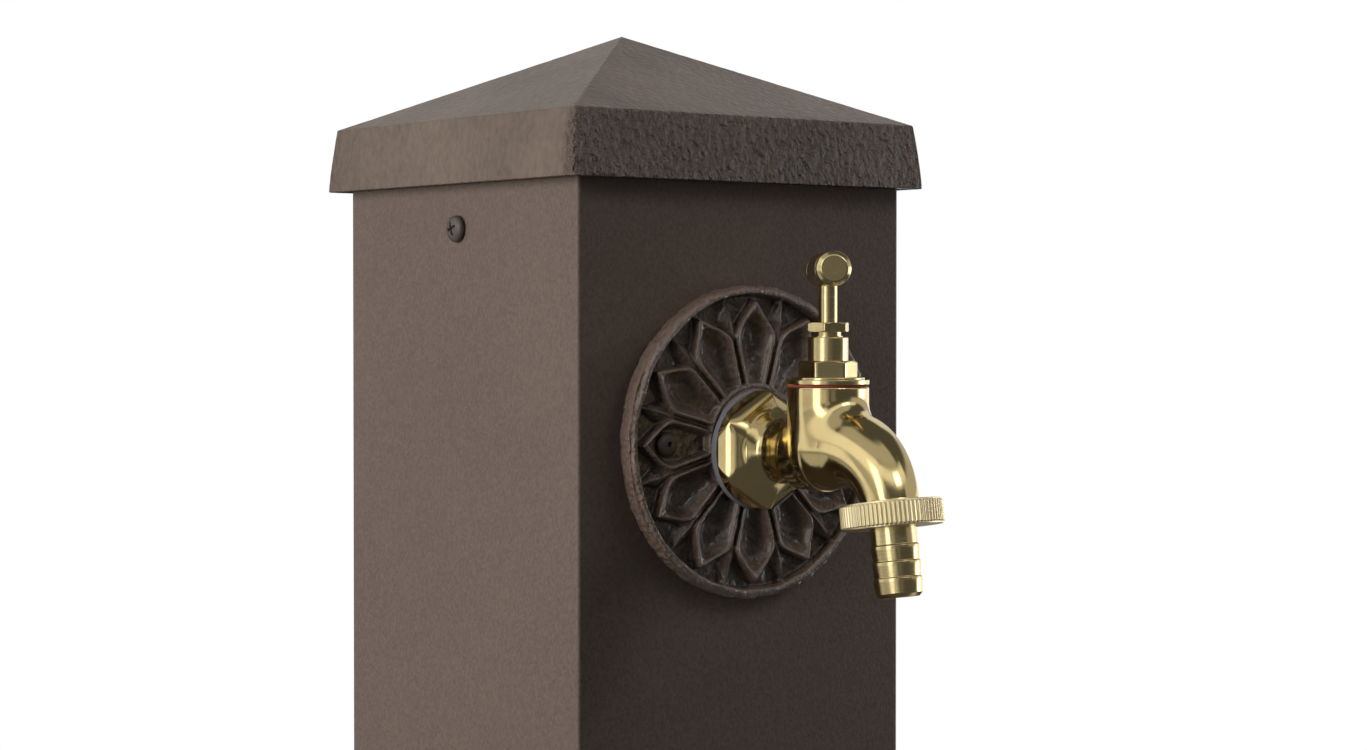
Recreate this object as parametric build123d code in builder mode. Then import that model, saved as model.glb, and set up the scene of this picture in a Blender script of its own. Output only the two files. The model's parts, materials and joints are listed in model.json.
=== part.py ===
from build123d import *
import os
from math import atan2, cos, degrees, pi, radians, sin

os.makedirs("parts", exist_ok=True)

# Garden water fountain: a square steel column with a cast pyramid cap and a brass tap.
# Millimetres, +Z up, -Y is the face with the tap. The origin is the centre of the
# anchor bolt pattern, on the underside of the base plate.

# Column and base plate
post_side = 130.0
post_wall = 3.0
post_corner = 1.2
post_length = 955.0
base_side = 200.0
base_thick = 8.0
base_corner = 10.0
base_edge = 1.0
anchor_spacing = 160.0
anchor_hole_r = 6.0
pipe_opening_r = 25.0
weld_leg = 5.0

# Cast cap: a skirt that leans in and swells a little, and a pyramid on it
cap_overlap = 14.4
cap_skirt = 20.8
cap_rise = 30.6
cap_out_bottom = 5.9
cap_out_rim = 3.8
cap_swell = 0.55
cap_clearance = 0.5
cap_wall = 5.0
cap_ledge = 5.0
cap_hip_round = 1.6
lug_width = 18.0
lug_thick = 8.0
lug_drop = 22.0

# Pan-head screws that hold the cap, one in each side of the column
screw_drop = 14.0
screw_r = 2.5
screw_length = 16.0
screw_head_r = 4.3
screw_head_height = 2.9
screw_head_side = 1.0
screw_crown_r = 0.45
screw_crown_bulge = 0.75
screw_hole_clearance = 0.25
thread_clearance = 0.05
recess_width = 0.9
recess_span = 4.4
recess_depth = 1.3
recess_turn = 18.0

# Cast rosette behind the tap
tap_drop = 98.1
rosette_raise = 2.4
rosette_r = 49.4
rosette_thick = 6.0
rosette_rim = 3.5
rosette_floor = 2.8
rosette_edge = 0.9
hub_margin = 0.3
hub_height = 6.3
hub_hole_clearance = 1.6
petal_count = 12
petal_height = 5.0
petal_root_half = 3.6
petal_shoulder_half = 8.1
petal_side_bulge = 0.5
petal_point = 10.4
petal_tip_gap = 1.5
petal_overlap = 2.4
petal_border = 1.2
petal_dish = 1.9
petal_dish_taper = 38.0
tip_half = 2.4
tip_length = 7.0
tip_shoulder = 2.6
tip_root_half = 1.9
tip_gap = 0.3
tip_height = 4.4

# Blind rivets that hold the rosette, in the petals at three and nine o'clock
rivet_inset = 0.3
rivet_r = 2.0
rivet_head_r = 3.9
rivet_head_height = 1.9
rivet_eye_r = 0.8
rivet_eye_depth = 1.2
rivet_head_side = 0.4
rivet_crown_bulge = 0.45
rivet_bulb_r = 3.1
rivet_bulb = 3.5
rivet_bulb_round = 0.9
rivet_clearance = 0.1

# Washer between the rosette and the tap, and the shank through the wall
washer_overhang = 0.3
washer_thick = 2.3
washer_edge = 0.3
washer_clearance = 0.2
pipe_thread_r = 9.9
shank_length = 28.6
wall_hole_clearance = 0.6
inlet_bore_r = 4.6

# Tap body
flange_flats = 32.0
flange_base_out = 2.1
flange_draft = 4.3
flange_front = 4.5
flange_edge = 0.5
neck_start_r = 11.1
waist_at = 13.4
waist_r = 9.3
barrel_reach = 39.7
barrel_r = 12.5
barrel_top = 20.3
bowl_lift = 2.8
spout_drop = 0.9
spout_straight = 8.8
spout_bend_r = 20.0
spout_turn = 81.5
spout_stations = 5
spout_end_r = 8.7
spout_bore_r = 6.2
spout_collar_r = 12.6
spout_collar = 3.6
spout_collar_edge = 0.4
spout_flare = 1.9
spout_flare_out = 1.6
neck_in = 0.8
neck_overlap = 2.5

# Valve seat and the ways through the body
barrel_wall = 3.0
chamber_floor = 6.2
seat_bore_r = 4.5
seat_ring_r = 6.0
seat_ring = 1.2
passage_r = 4.2
passage_out = 7.3
passage_up = 5.0
passage_turn = 28.0

# Bonnet, with the gland in its neck
gasket_thick = 0.7
gasket_in = 0.3
bonnet_overhang = 0.1
bonnet_flange = 1.5
bonnet_step = 0.7
bonnet_step_in = 1.4
bonnet_flats = 15.8
bonnet_hex = 5.0
bonnet_hex_turn = 19.0
bonnet_neck_wall = 2.2
bonnet_neck = 7.2
bonnet_thread = 4.8
gland_wall = 1.15
gland_depth = 5.2
gland_gap = 1.6
gland_flats = 12.0
gland_hex = 2.8
gland_hex_turn = 33.0
packing_thick = 2.2
hex_chamfer = 0.5

# Valve, spindle and handle
valve_washer_r = 6.3
valve_washer_thick = 2.5
valve_plate_r = 6.6
valve_plate_thick = 1.5
valve_stem_r = 1.9
valve_stem = 6.0
valve_stud_r = 1.4
valve_nut_flats = 4.8
valve_nut_thick = 1.6
valve_lift = 4.0
valve_headroom = 0.5
spindle_r = 2.85
spindle_thread_r = 4.5
spindle_thread = 12.3
socket_clearance = 0.1
spindle_visible = 11.1
handle_r = 5.0
handle_half = 18.5
handle_face_r = 3.7
handle_chamfer = 1.3
handle_groove_at = 4.6
handle_groove = 0.9
handle_groove_deep = 0.6
handle_turn = 36.0

# Hose union under the spout
nut_wall = 2.8
nut_height = 7.6
nut_flange = 1.4
nut_land = 0.5
nut_land_step = 0.45
nut_hole_clearance = 0.3
knurl_count = 70
knurl_depth = 0.45
knurl_half = 0.31
tail_collar_in = 0.3
tail_collar = 1.3
tail_gasket = 1.0
tail_gasket_in = 0.3
tail_r = 6.95
tail_wall = 2.05
tail_length = 20.7
barb_rise = 0.35
barb_count = 3
barb_first = 5.4
barb_pitch = 4.8
barb_land = 0.9
barb_back = 0.3
tail_chamfer = 1.1

# Supply line inside the column
lock_washer_r = 17.0
lock_washer_thick = 1.5
lock_nut_flats = 30.0
lock_nut_thick = 6.0
elbow_wall = 3.65
elbow_ring_out = 1.6
elbow_ring = 4.5
elbow_gap = 0.5
elbow_reach = 33.0
elbow_drop = 24.0
elbow_bore_r = 8.0
thread_depth = 11.0
riser_r = 10.65
riser_wall = 2.6
riser_lift = 32.0
coupling_wall = 3.45
coupling_socket = 15.0
coupling_stop = 1.0
coupling_gap = 0.5
coupling_edge = 0.8
clip_rise = 120.0
clip_drop = 280.9
clip_band = 2.0
clip_width = 18.0
clip_stem_r = 4.0
clip_foot = 24.0
clip_foot_thick = 2.5
clip_foot_round = 3.0

# Places that follow from the sizes
front = -post_side / 2
post_top = base_thick + post_length
tap_height = post_top - tap_drop
cap_bottom = post_top - cap_overlap
screw_z = cap_bottom - screw_drop
post_inner = post_side / 2 - post_wall
flange_back = hub_height + washer_thick
riser_y = front + elbow_reach
chamber_r = barrel_r - barrel_wall
spout_lift = bowl_lift - spout_drop
spout_r = barrel_r - spout_drop
seat_top = chamber_floor + seat_ring
shank_end = flange_back - shank_length
flange_flat_r = flange_flats / 2
flange_corner_r = flange_flat_r / cos(radians(30))
washer_r = flange_corner_r + washer_overhang
hub_r = washer_r + hub_margin
petal_tip_r = rosette_r - rosette_rim - petal_tip_gap
petal_shoulder_r = petal_tip_r - petal_point
petal_root_r = hub_r - petal_overlap
tip_end_r = rosette_r - rosette_rim - tip_gap
tip_root_r = tip_end_r - tip_length
rivet_pitch_r = petal_shoulder_r - rivet_inset

# Planes and axes of the tap: "wall" looks out of the front face at the tap's inlet,
# "side" holds the tap's profile with the reach along its x and height along its y
wall = Plane(origin=(0, front, tap_height), x_dir=(1, 0, 0), z_dir=(0, -1, 0))
side = Plane(origin=(0, front, tap_height), x_dir=(0, -1, 0), z_dir=(-1, 0, 0))
inlet_axis = Axis((0, front, tap_height), (0, -1, 0))
barrel = Plane(origin=(0, front - barrel_reach, tap_height), x_dir=(1, 0, 0), z_dir=(0, 0, 1))


def on_side(reach, height):
    """Point in the tap's middle plane, from its reach out of the wall and its height."""
    return side.from_local_coords((reach, height, 0))


# The spout's arc starts level and ends at the mouth, which leans out from the column
arc_reach = barrel_reach + spout_straight
arc_height = spout_lift - spout_bend_r


def on_arc(turn):
    """Point on the spout's centre line, after so many degrees of turn."""
    return on_side(
        arc_reach + spout_bend_r * sin(radians(turn)), arc_height + spout_bend_r * cos(radians(turn))
    )


mouth_origin = on_arc(spout_turn)
mouth_dir = Vector(0, -cos(radians(spout_turn)), -sin(radians(spout_turn)))
mouth_axis = Axis(mouth_origin, mouth_dir)
mouth_plane = Plane(origin=mouth_origin, x_dir=(1, 0, 0), z_dir=mouth_dir)
mouth_side = Plane(origin=mouth_origin, x_dir=mouth_plane.y_dir, z_dir=(1, 0, 0))

# Stations along the mouth's axis, from the end of the arc
spout_end = 2.1
nut_bottom = spout_end + tail_gasket + tail_collar + nut_flange
nut_top = nut_bottom - nut_height
collar_top = spout_end + tail_gasket

# Base plate with four anchor holes and the opening for the supply pipe
with BuildPart() as base_plate:
    with BuildSketch():
        RectangleRounded(base_side, base_side, base_corner)
        with GridLocations(anchor_spacing, anchor_spacing, 2, 2):
            Circle(anchor_hole_r, mode=Mode.SUBTRACT)
        with Locations((0, riser_y)):
            Circle(pipe_opening_r, mode=Mode.SUBTRACT)
    extrude(amount=base_thick)
    top_edges = base_plate.edges().group_by(Axis.Z)[-1]
    outline = top_edges.filter_by(lambda e: e.geom_type != GeomType.CIRCLE or e.radius == base_corner)
    chamfer(outline, base_edge)

# Column: a square tube with holes for the tap, the rivets and the cap screws
with BuildPart() as column_post:
    with BuildSketch(Plane.XY.offset(base_thick)):
        RectangleRounded(post_side, post_side, post_corner)
        Rectangle(2 * post_inner, 2 * post_inner, mode=Mode.SUBTRACT)
    extrude(amount=post_length)
    with BuildSketch(wall):
        Circle(pipe_thread_r + wall_hole_clearance)
        with Locations((-rivet_pitch_r, rosette_raise), (rivet_pitch_r, rosette_raise)):
            Circle(rivet_r + rivet_clearance)
    extrude(amount=-2 * post_wall, mode=Mode.SUBTRACT)
    with BuildSketch(Plane.YZ.offset(-post_side)):
        with Locations((0, screw_z)):
            Circle(screw_r + screw_hole_clearance)
    extrude(amount=2 * post_side, mode=Mode.SUBTRACT)

# Weld bead round the foot of the column
with BuildPart() as base_weld:
    with BuildSketch(Plane.XY.offset(base_thick)):
        RectangleRounded(post_side + 2 * weld_leg, post_side + 2 * weld_leg, post_corner + weld_leg)
    extrude(amount=weld_leg, taper=44)
    with BuildSketch(Plane.XY.offset(base_thick)):
        RectangleRounded(post_side, post_side, post_corner)
    extrude(amount=weld_leg, mode=Mode.SUBTRACT)

# Cap: the side profile is pulled along both ways and the two prisms are intersected,
# which mitres the skirt's corners and the pyramid's hips
cap_half_bottom = post_side / 2 + cap_out_bottom
cap_half_rim = post_side / 2 + cap_out_rim
cap_rim_z = cap_bottom + cap_skirt
cap_apex_z = cap_rim_z + cap_rise
cap_mid = (cap_half_bottom + cap_half_rim) / 2 + cap_swell
cavity_half = post_inner - cap_ledge
cap_slope = cap_rise / cap_half_rim
cavity_drop = cap_wall * (1 + cap_slope**2) ** 0.5
cavity_shoulder = cap_rim_z + (cap_half_rim - cavity_half) * cap_slope - cavity_drop


def cap_prism(plane):
    """Outline of the cap seen from one side."""
    with BuildSketch(plane) as outline:
        with BuildLine():
            skirt = ThreePointArc(
                (cap_half_bottom, cap_bottom),
                (cap_mid, cap_bottom + cap_skirt / 2),
                (cap_half_rim, cap_rim_z),
            )
            Line(skirt @ 1, (0, cap_apex_z))
            Line((0, cap_apex_z), (-cap_half_rim, cap_rim_z))
            far = ThreePointArc(
                (-cap_half_rim, cap_rim_z),
                (-cap_mid, cap_bottom + cap_skirt / 2),
                (-cap_half_bottom, cap_bottom),
            )
            Line(far @ 1, skirt @ 0)
        make_face()
    return outline.sketch


def cavity_prism(plane):
    """Outline of the hollow under the pyramid, over the top of the column."""
    with BuildSketch(plane) as outline:
        with BuildLine():
            Polyline(
                (-cavity_half, post_top),
                (cavity_half, post_top),
                (cavity_half, cavity_shoulder),
                (0, cap_apex_z - cavity_drop),
                (-cavity_half, cavity_shoulder),
                close=True,
            )
        make_face()
    return outline.sketch


with BuildPart() as cap_cavity:
    extrude(cavity_prism(Plane.XZ), amount=cap_half_bottom, both=True)
    extrude(cavity_prism(Plane.YZ), amount=cap_half_bottom, both=True, mode=Mode.INTERSECT)

with BuildPart() as pyramid_cap:
    extrude(cap_prism(Plane.XZ), amount=cap_half_bottom + 1, both=True)
    extrude(cap_prism(Plane.YZ), amount=cap_half_bottom + 1, both=True, mode=Mode.INTERSECT)
    upper = pyramid_cap.edges().filter_by(lambda e: e.center().Z > cap_rim_z + 1)
    fillet(upper, cap_hip_round)
    with BuildSketch(Plane.XY.offset(cap_bottom)):
        RectangleRounded(
            post_side + 2 * cap_clearance,
            post_side + 2 * cap_clearance,
            post_corner + cap_clearance,
        )
    extrude(amount=cap_overlap, mode=Mode.SUBTRACT)
    add(cap_cavity.part, mode=Mode.SUBTRACT)
    lug_outer = post_inner - cap_clearance
    with BuildSketch(Plane.XY.offset(cap_bottom - lug_drop)):
        with Locations((-lug_outer + lug_thick / 2, 0), (lug_outer - lug_thick / 2, 0)):
            Rectangle(lug_thick, lug_width)
    extrude(amount=lug_drop + cap_overlap + cap_wall)
    with BuildSketch(Plane.YZ.offset(-post_side)):
        with Locations((0, screw_z)):
            Circle(screw_r + thread_clearance)
    extrude(amount=2 * post_side, mode=Mode.SUBTRACT)

# Cap screws: a domed pan head with a cross recess, and a shank into the cap's lug
screw_face = post_side / 2
screw_crown = -screw_face - screw_head_height
with BuildPart() as cap_screws:
    with BuildSketch(Plane.XZ):
        with BuildLine():
            Polyline(
                (-screw_face + screw_length, screw_z),
                (-screw_face + screw_length, screw_z + screw_r),
                (-screw_face, screw_z + screw_r),
                (-screw_face, screw_z + screw_head_r),
                (-screw_face - screw_head_side, screw_z + screw_head_r),
            )
            SagittaArc(
                (-screw_face - screw_head_side, screw_z + screw_head_r),
                (screw_crown, screw_z + screw_crown_r),
                -screw_crown_bulge,
            )
            Polyline(
                (screw_crown, screw_z + screw_crown_r),
                (screw_crown, screw_z),
                (-screw_face + screw_length, screw_z),
            )
        make_face()
    revolve(axis=Axis((0, 0, screw_z), (1, 0, 0)))
    recess_plane = Plane(origin=(screw_crown, 0, screw_z), x_dir=(0, 1, 0), z_dir=(1, 0, 0))
    with BuildSketch(recess_plane.rotated((0, 0, recess_turn))):
        Rectangle(recess_span, recess_width)
        Rectangle(recess_width, recess_span)
    extrude(amount=recess_depth, mode=Mode.SUBTRACT)
    mirror(about=Plane.YZ)

# Rosette: a disc with a raised rim, a hub for the washer and a ring of dished petals
rosette_plane = Plane(
    origin=(0, front, tap_height + rosette_raise), x_dir=(1, 0, 0), z_dir=(0, -1, 0)
)
# One petal along x: narrow at the hub, wide at the shoulder and pointed at the rim
with BuildSketch() as petal:
    with BuildLine():
        upper_side = ThreePointArc(
            (petal_root_r, petal_root_half),
            (
                (petal_root_r + petal_shoulder_r) / 2,
                (petal_root_half + petal_shoulder_half) / 2 + petal_side_bulge,
            ),
            (petal_shoulder_r, petal_shoulder_half),
        )
        Line(upper_side @ 1, (petal_tip_r, 0))
        mirror(about=Plane.XZ)
        Line((petal_root_r, -petal_root_half), (petal_root_r, petal_root_half))
    make_face()

# The dish in a petal, inside its border
with BuildSketch() as petal_hollow:
    add(petal.sketch)
    offset(amount=-petal_border, kind=Kind.INTERSECTION)

# The point of the leaf behind, between two petals
with BuildSketch() as leaf_tip:
    with BuildLine():
        Polyline(
            (tip_root_r, -tip_root_half),
            (tip_root_r + tip_shoulder, -tip_half),
            (tip_end_r, 0),
            (tip_root_r + tip_shoulder, tip_half),
            (tip_root_r, tip_root_half),
            close=True,
        )
    make_face()

with BuildPart() as rosette:
    with BuildSketch(rosette_plane):
        Circle(rosette_r)
    extrude(amount=rosette_floor)
    with BuildSketch(rosette_plane):
        Circle(rosette_r)
        Circle(rosette_r - rosette_rim, mode=Mode.SUBTRACT)
    extrude(amount=rosette_thick)
    outer_edges = rosette.edges().filter_by(
        lambda e: e.geom_type == GeomType.CIRCLE and e.radius > rosette_r - rosette_edge
    )
    fillet(outer_edges.group_by(Axis.Y)[0], rosette_edge)
    with BuildSketch(rosette_plane):
        with PolarLocations(0, petal_count, start_angle=90):
            add(petal.sketch)
    extrude(amount=petal_height)
    with BuildSketch(rosette_plane):
        with PolarLocations(0, petal_count, start_angle=90 + 180 / petal_count):
            add(leaf_tip.sketch)
    extrude(amount=tip_height)
    with BuildSketch(rosette_plane.offset(petal_height)):
        with PolarLocations(0, petal_count, start_angle=90):
            add(petal_hollow.sketch)
    extrude(amount=-petal_dish, taper=petal_dish_taper, mode=Mode.SUBTRACT)
    with BuildSketch(rosette_plane):
        Circle(hub_r)
    extrude(amount=hub_height)
    with BuildSketch(wall):
        Circle(pipe_thread_r + hub_hole_clearance)
        with Locations((-rivet_pitch_r, rosette_raise), (rivet_pitch_r, rosette_raise)):
            Circle(rivet_r + rivet_clearance)
    extrude(amount=hub_height, mode=Mode.SUBTRACT)

# Blind rivets: domed head with the broken mandrel's eye, and the bulb behind the wall
rivet_seat = petal_height - petal_dish
rivet_crown = rivet_seat + rivet_head_height
rivet_side = Plane(origin=rosette_plane.origin, x_dir=(1, 0, 0), z_dir=(0, 0, 1))
with BuildPart() as rosette_rivets:
    with BuildSketch(rivet_side):
        with BuildLine():
            Polyline(
                (rivet_pitch_r, post_wall + rivet_bulb),
                (rivet_pitch_r + rivet_bulb_r - rivet_bulb_round, post_wall + rivet_bulb),
                (rivet_pitch_r + rivet_bulb_r, post_wall + rivet_bulb - rivet_bulb_round),
                (rivet_pitch_r + rivet_bulb_r, post_wall + rivet_bulb_round),
                (rivet_pitch_r + rivet_r, post_wall),
                (rivet_pitch_r + rivet_r, -rivet_seat),
                (rivet_pitch_r + rivet_head_r, -rivet_seat),
                (rivet_pitch_r + rivet_head_r, -rivet_seat - rivet_head_side),
            )
            SagittaArc(
                (rivet_pitch_r + rivet_head_r, -rivet_seat - rivet_head_side),
                (rivet_pitch_r + rivet_eye_r, -rivet_crown),
                rivet_crown_bulge,
            )
            Polyline(
                (rivet_pitch_r + rivet_eye_r, -rivet_crown),
                (rivet_pitch_r + rivet_eye_r, rivet_eye_depth - rivet_crown),
                (rivet_pitch_r, rivet_eye_depth - rivet_crown),
                (rivet_pitch_r, post_wall + rivet_bulb),
            )
        make_face()
    revolve(axis=Axis(rosette_plane.origin + Vector(rivet_pitch_r, 0, 0), (0, 1, 0)))
    mirror(about=Plane.YZ)

# Pale washer between the hub and the tap's flange
with BuildPart() as flange_washer:
    with BuildSketch(wall.offset(hub_height)):
        Circle(washer_r)
        Circle(pipe_thread_r + washer_clearance, mode=Mode.SUBTRACT)
    extrude(amount=washer_thick)
    chamfer(flange_washer.edges().filter_by(GeomType.CIRCLE).sort_by(SortBy.RADIUS)[-2:], washer_edge)

# Spout: rings along the arc, each smaller than the last
def spout_ring(share):
    """Plane across the spout's centre line and the spout's radius, at a share of the bend."""
    turn = radians(spout_turn * share)
    plane = Plane(origin=on_arc(spout_turn * share), x_dir=(1, 0, 0), z_dir=(0, -cos(turn), -sin(turn)))
    slow_start = ((1 - share) + (1 + cos(pi * share)) / 2) / 2
    return plane, spout_end_r + (spout_r - spout_end_r) * slow_start


with BuildPart() as spout:
    for station in range(spout_stations):
        ring_plane, ring_r = spout_ring(station / (spout_stations - 1))
        with BuildSketch(ring_plane):
            Circle(ring_r)
    loft()

# Tap body: hexagonal flange, waisted neck, barrel with a round bowl, and bent spout
neck_start = flange_back + flange_draft + flange_front
neck_r = barrel_r - neck_in
with BuildPart() as tap_body:
    with BuildSketch(wall.offset(flange_back)):
        RegularPolygon(flange_flat_r + flange_base_out, 6, major_radius=False, rotation=30)
    extrude(amount=flange_draft, taper=degrees(atan2(flange_base_out, flange_draft)))
    with BuildSketch(wall.offset(flange_back + flange_draft)):
        RegularPolygon(flange_flat_r, 6, major_radius=False, rotation=30)
    extrude(amount=flange_front, taper=degrees(atan2(flange_flat_r - neck_start_r, flange_front)))
    with BuildSketch(side):
        with BuildLine():
            Polyline(
                (flange_back, 0),
                (flange_back, flange_corner_r - flange_edge),
                (flange_back + flange_edge, flange_corner_r),
                (flange_back + flange_draft, flange_corner_r),
                (neck_start, neck_start_r),
                (neck_start, 0),
                close=True,
            )
        make_face()
    revolve(axis=inlet_axis, mode=Mode.INTERSECT)
    with BuildSketch(side):
        with BuildLine():
            neck = ThreePointArc(
                (neck_start, neck_start_r),
                (flange_back + waist_at, waist_r),
                (barrel_reach - barrel_r + neck_overlap, neck_r),
            )
            Polyline(
                neck @ 1,
                (barrel_reach, neck_r),
                (barrel_reach, 0),
                (neck_start - 1, 0),
                (neck_start - 1, neck_start_r),
                neck @ 0,
            )
        make_face()
    revolve(axis=inlet_axis)
    with BuildSketch(barrel.offset(bowl_lift)):
        Circle(barrel_r)
    extrude(amount=barrel_top - bowl_lift)
    with Locations(barrel.offset(bowl_lift)):
        Sphere(barrel_r)
    with BuildSketch(Plane(origin=on_side(barrel_reach, spout_lift), x_dir=(1, 0, 0), z_dir=(0, -1, 0))):
        Circle(spout_r)
    extrude(amount=spout_straight)
    add(spout.part)
    with BuildSketch(mouth_side):
        with BuildLine():
            Polyline(
                (0, -spout_flare - spout_collar),
                (spout_end_r, -spout_flare - spout_collar),
                (spout_end_r, -spout_flare),
                (spout_end_r + spout_flare_out, spout_end - spout_collar),
                (spout_collar_r - spout_collar_edge, spout_end - spout_collar),
                (spout_collar_r, spout_end - spout_collar + spout_collar_edge),
                (spout_collar_r, spout_end),
                (0, spout_end),
                close=True,
            )
        make_face()
    revolve(axis=mouth_axis)
    with BuildSketch(wall.offset(shank_end)):
        Circle(pipe_thread_r)
    extrude(amount=shank_length)
    with BuildSketch(wall.offset(shank_end)):
        Circle(inlet_bore_r)
    extrude(amount=barrel_reach - shank_end, mode=Mode.SUBTRACT)
    with BuildSketch(barrel.offset(chamber_floor)):
        Circle(chamber_r)
        Circle(seat_ring_r, mode=Mode.SUBTRACT)
    extrude(amount=barrel_top - chamber_floor, mode=Mode.SUBTRACT)
    with BuildSketch(barrel.offset(seat_top)):
        Circle(chamber_r)
    extrude(amount=barrel_top - seat_top, mode=Mode.SUBTRACT)
    with BuildSketch(barrel):
        Circle(seat_bore_r)
    extrude(amount=barrel_top, mode=Mode.SUBTRACT)
    passage_from = on_side(barrel_reach + passage_out, chamber_floor + passage_up)
    passage_way = on_arc(passage_turn) - passage_from
    with BuildSketch(Plane(origin=passage_from, x_dir=(1, 0, 0), z_dir=passage_way)):
        Circle(passage_r)
    extrude(amount=passage_way.length, mode=Mode.SUBTRACT)
    with BuildSketch(mouth_plane.offset(spout_end)):
        Circle(spout_bore_r)
    extrude(amount=-spout_end, mode=Mode.SUBTRACT)
    with BuildSketch(mouth_plane):
        Circle(spout_bore_r)
    revolve(
        axis=Axis(on_side(arc_reach, arc_height), (-1, 0, 0)),
        revolution_arc=spout_turn,
        mode=Mode.SUBTRACT,
    )

# Red fibre gasket under the bonnet
with BuildPart() as bonnet_gasket:
    with BuildSketch(barrel.offset(barrel_top)):
        Circle(barrel_r - gasket_in)
        Circle(chamber_r, mode=Mode.SUBTRACT)
    extrude(amount=gasket_thick)

# Bonnet: flange with a step, hexagon and neck, screwed into the barrel
flange_z = barrel_top + gasket_thick
hex_z = flange_z + bonnet_flange + bonnet_step
neck_z = hex_z + bonnet_hex
neck_top = neck_z + bonnet_neck
plate_top = seat_top + valve_washer_thick + valve_plate_thick
spindle_shoulder = plate_top + spindle_thread
spindle_room = spindle_shoulder + valve_lift + valve_headroom
gland_r = spindle_r + gland_wall
bonnet_flange_r = barrel_r + bonnet_overhang
with BuildPart() as bonnet:
    with BuildSketch(barrel.offset(flange_z)):
        Circle(bonnet_flange_r)
    extrude(amount=bonnet_flange)
    with BuildSketch(barrel.offset(flange_z)):
        Circle(bonnet_flange_r - bonnet_step_in)
    extrude(amount=bonnet_flange + bonnet_step)
    with BuildSketch(barrel.offset(hex_z)):
        RegularPolygon(bonnet_flats / 2, 6, major_radius=False, rotation=bonnet_hex_turn)
    extrude(amount=bonnet_hex)
    with BuildSketch(barrel.offset(flange_z - bonnet_thread)):
        Circle(chamber_r - thread_clearance)
    extrude(amount=bonnet_thread)
    with BuildSketch(barrel.offset(neck_z)):
        Circle(gland_r + bonnet_neck_wall)
    extrude(amount=bonnet_neck)
    chamfer(bonnet.edges().group_by(Axis.Z)[-1], hex_chamfer)
    with BuildSketch(barrel.offset(flange_z - bonnet_thread)):
        Circle(spindle_thread_r + thread_clearance)
    extrude(amount=spindle_room - flange_z + bonnet_thread, mode=Mode.SUBTRACT)
    with BuildSketch(barrel.offset(flange_z)):
        Circle(spindle_r + thread_clearance)
    extrude(amount=neck_top - flange_z, mode=Mode.SUBTRACT)
    with BuildSketch(barrel.offset(neck_top - gland_depth)):
        Circle(gland_r + thread_clearance)
    extrude(amount=gland_depth, mode=Mode.SUBTRACT)

# Soft packing round the spindle, squeezed by the gland nut
with BuildPart() as gland_packing:
    with BuildSketch(barrel.offset(neck_top - gland_depth)):
        Circle(gland_r)
        Circle(spindle_r + thread_clearance, mode=Mode.SUBTRACT)
    extrude(amount=packing_thick)

gland_z = neck_top + gland_gap
with BuildPart() as gland_nut:
    with BuildSketch(barrel.offset(neck_top - gland_depth + packing_thick)):
        Circle(gland_r)
    extrude(amount=gland_depth - packing_thick + gland_gap)
    with BuildSketch(barrel.offset(gland_z)):
        RegularPolygon(gland_flats / 2, 6, major_radius=False, rotation=gland_hex_turn)
    extrude(amount=gland_hex)
    with BuildSketch(barrel.offset(neck_top - gland_depth)):
        Circle(spindle_r + thread_clearance)
    extrude(amount=gland_depth + gland_gap + gland_hex, mode=Mode.SUBTRACT)

# Valve: a plate with a loose stem in the spindle, its rubber washer and small nut
with BuildPart() as valve_plate:
    with BuildSketch(barrel.offset(seat_top + valve_washer_thick)):
        Circle(valve_plate_r)
    extrude(amount=valve_plate_thick)
    with BuildSketch(barrel.offset(plate_top)):
        Circle(valve_stem_r)
    extrude(amount=valve_stem)
    with BuildSketch(barrel.offset(seat_top - valve_nut_thick)):
        Circle(valve_stud_r)
    extrude(amount=valve_nut_thick + valve_washer_thick)

with BuildPart() as valve_washer:
    with BuildSketch(barrel.offset(seat_top)):
        Circle(valve_washer_r)
        Circle(valve_stud_r, mode=Mode.SUBTRACT)
    extrude(amount=valve_washer_thick)

with BuildPart() as valve_nut:
    with BuildSketch(barrel.offset(seat_top - valve_nut_thick)):
        RegularPolygon(valve_nut_flats / 2, 6, major_radius=False)
        Circle(valve_stud_r, mode=Mode.SUBTRACT)
    extrude(amount=valve_nut_thick)

# Spindle: the wide lower length carries the thread, the stem runs through the gland
handle_z = gland_z + gland_hex + spindle_visible + handle_r
with BuildPart() as spindle:
    with BuildSketch(barrel.offset(plate_top)):
        Circle(spindle_thread_r)
        Circle(valve_stem_r + socket_clearance, mode=Mode.SUBTRACT)
    extrude(amount=valve_stem + socket_clearance)
    with BuildSketch(barrel.offset(plate_top + valve_stem + socket_clearance)):
        Circle(spindle_thread_r)
    extrude(amount=spindle_thread - valve_stem - socket_clearance)
    with BuildSketch(barrel.offset(spindle_shoulder)):
        Circle(spindle_r)
    extrude(amount=handle_z - spindle_shoulder)

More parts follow.
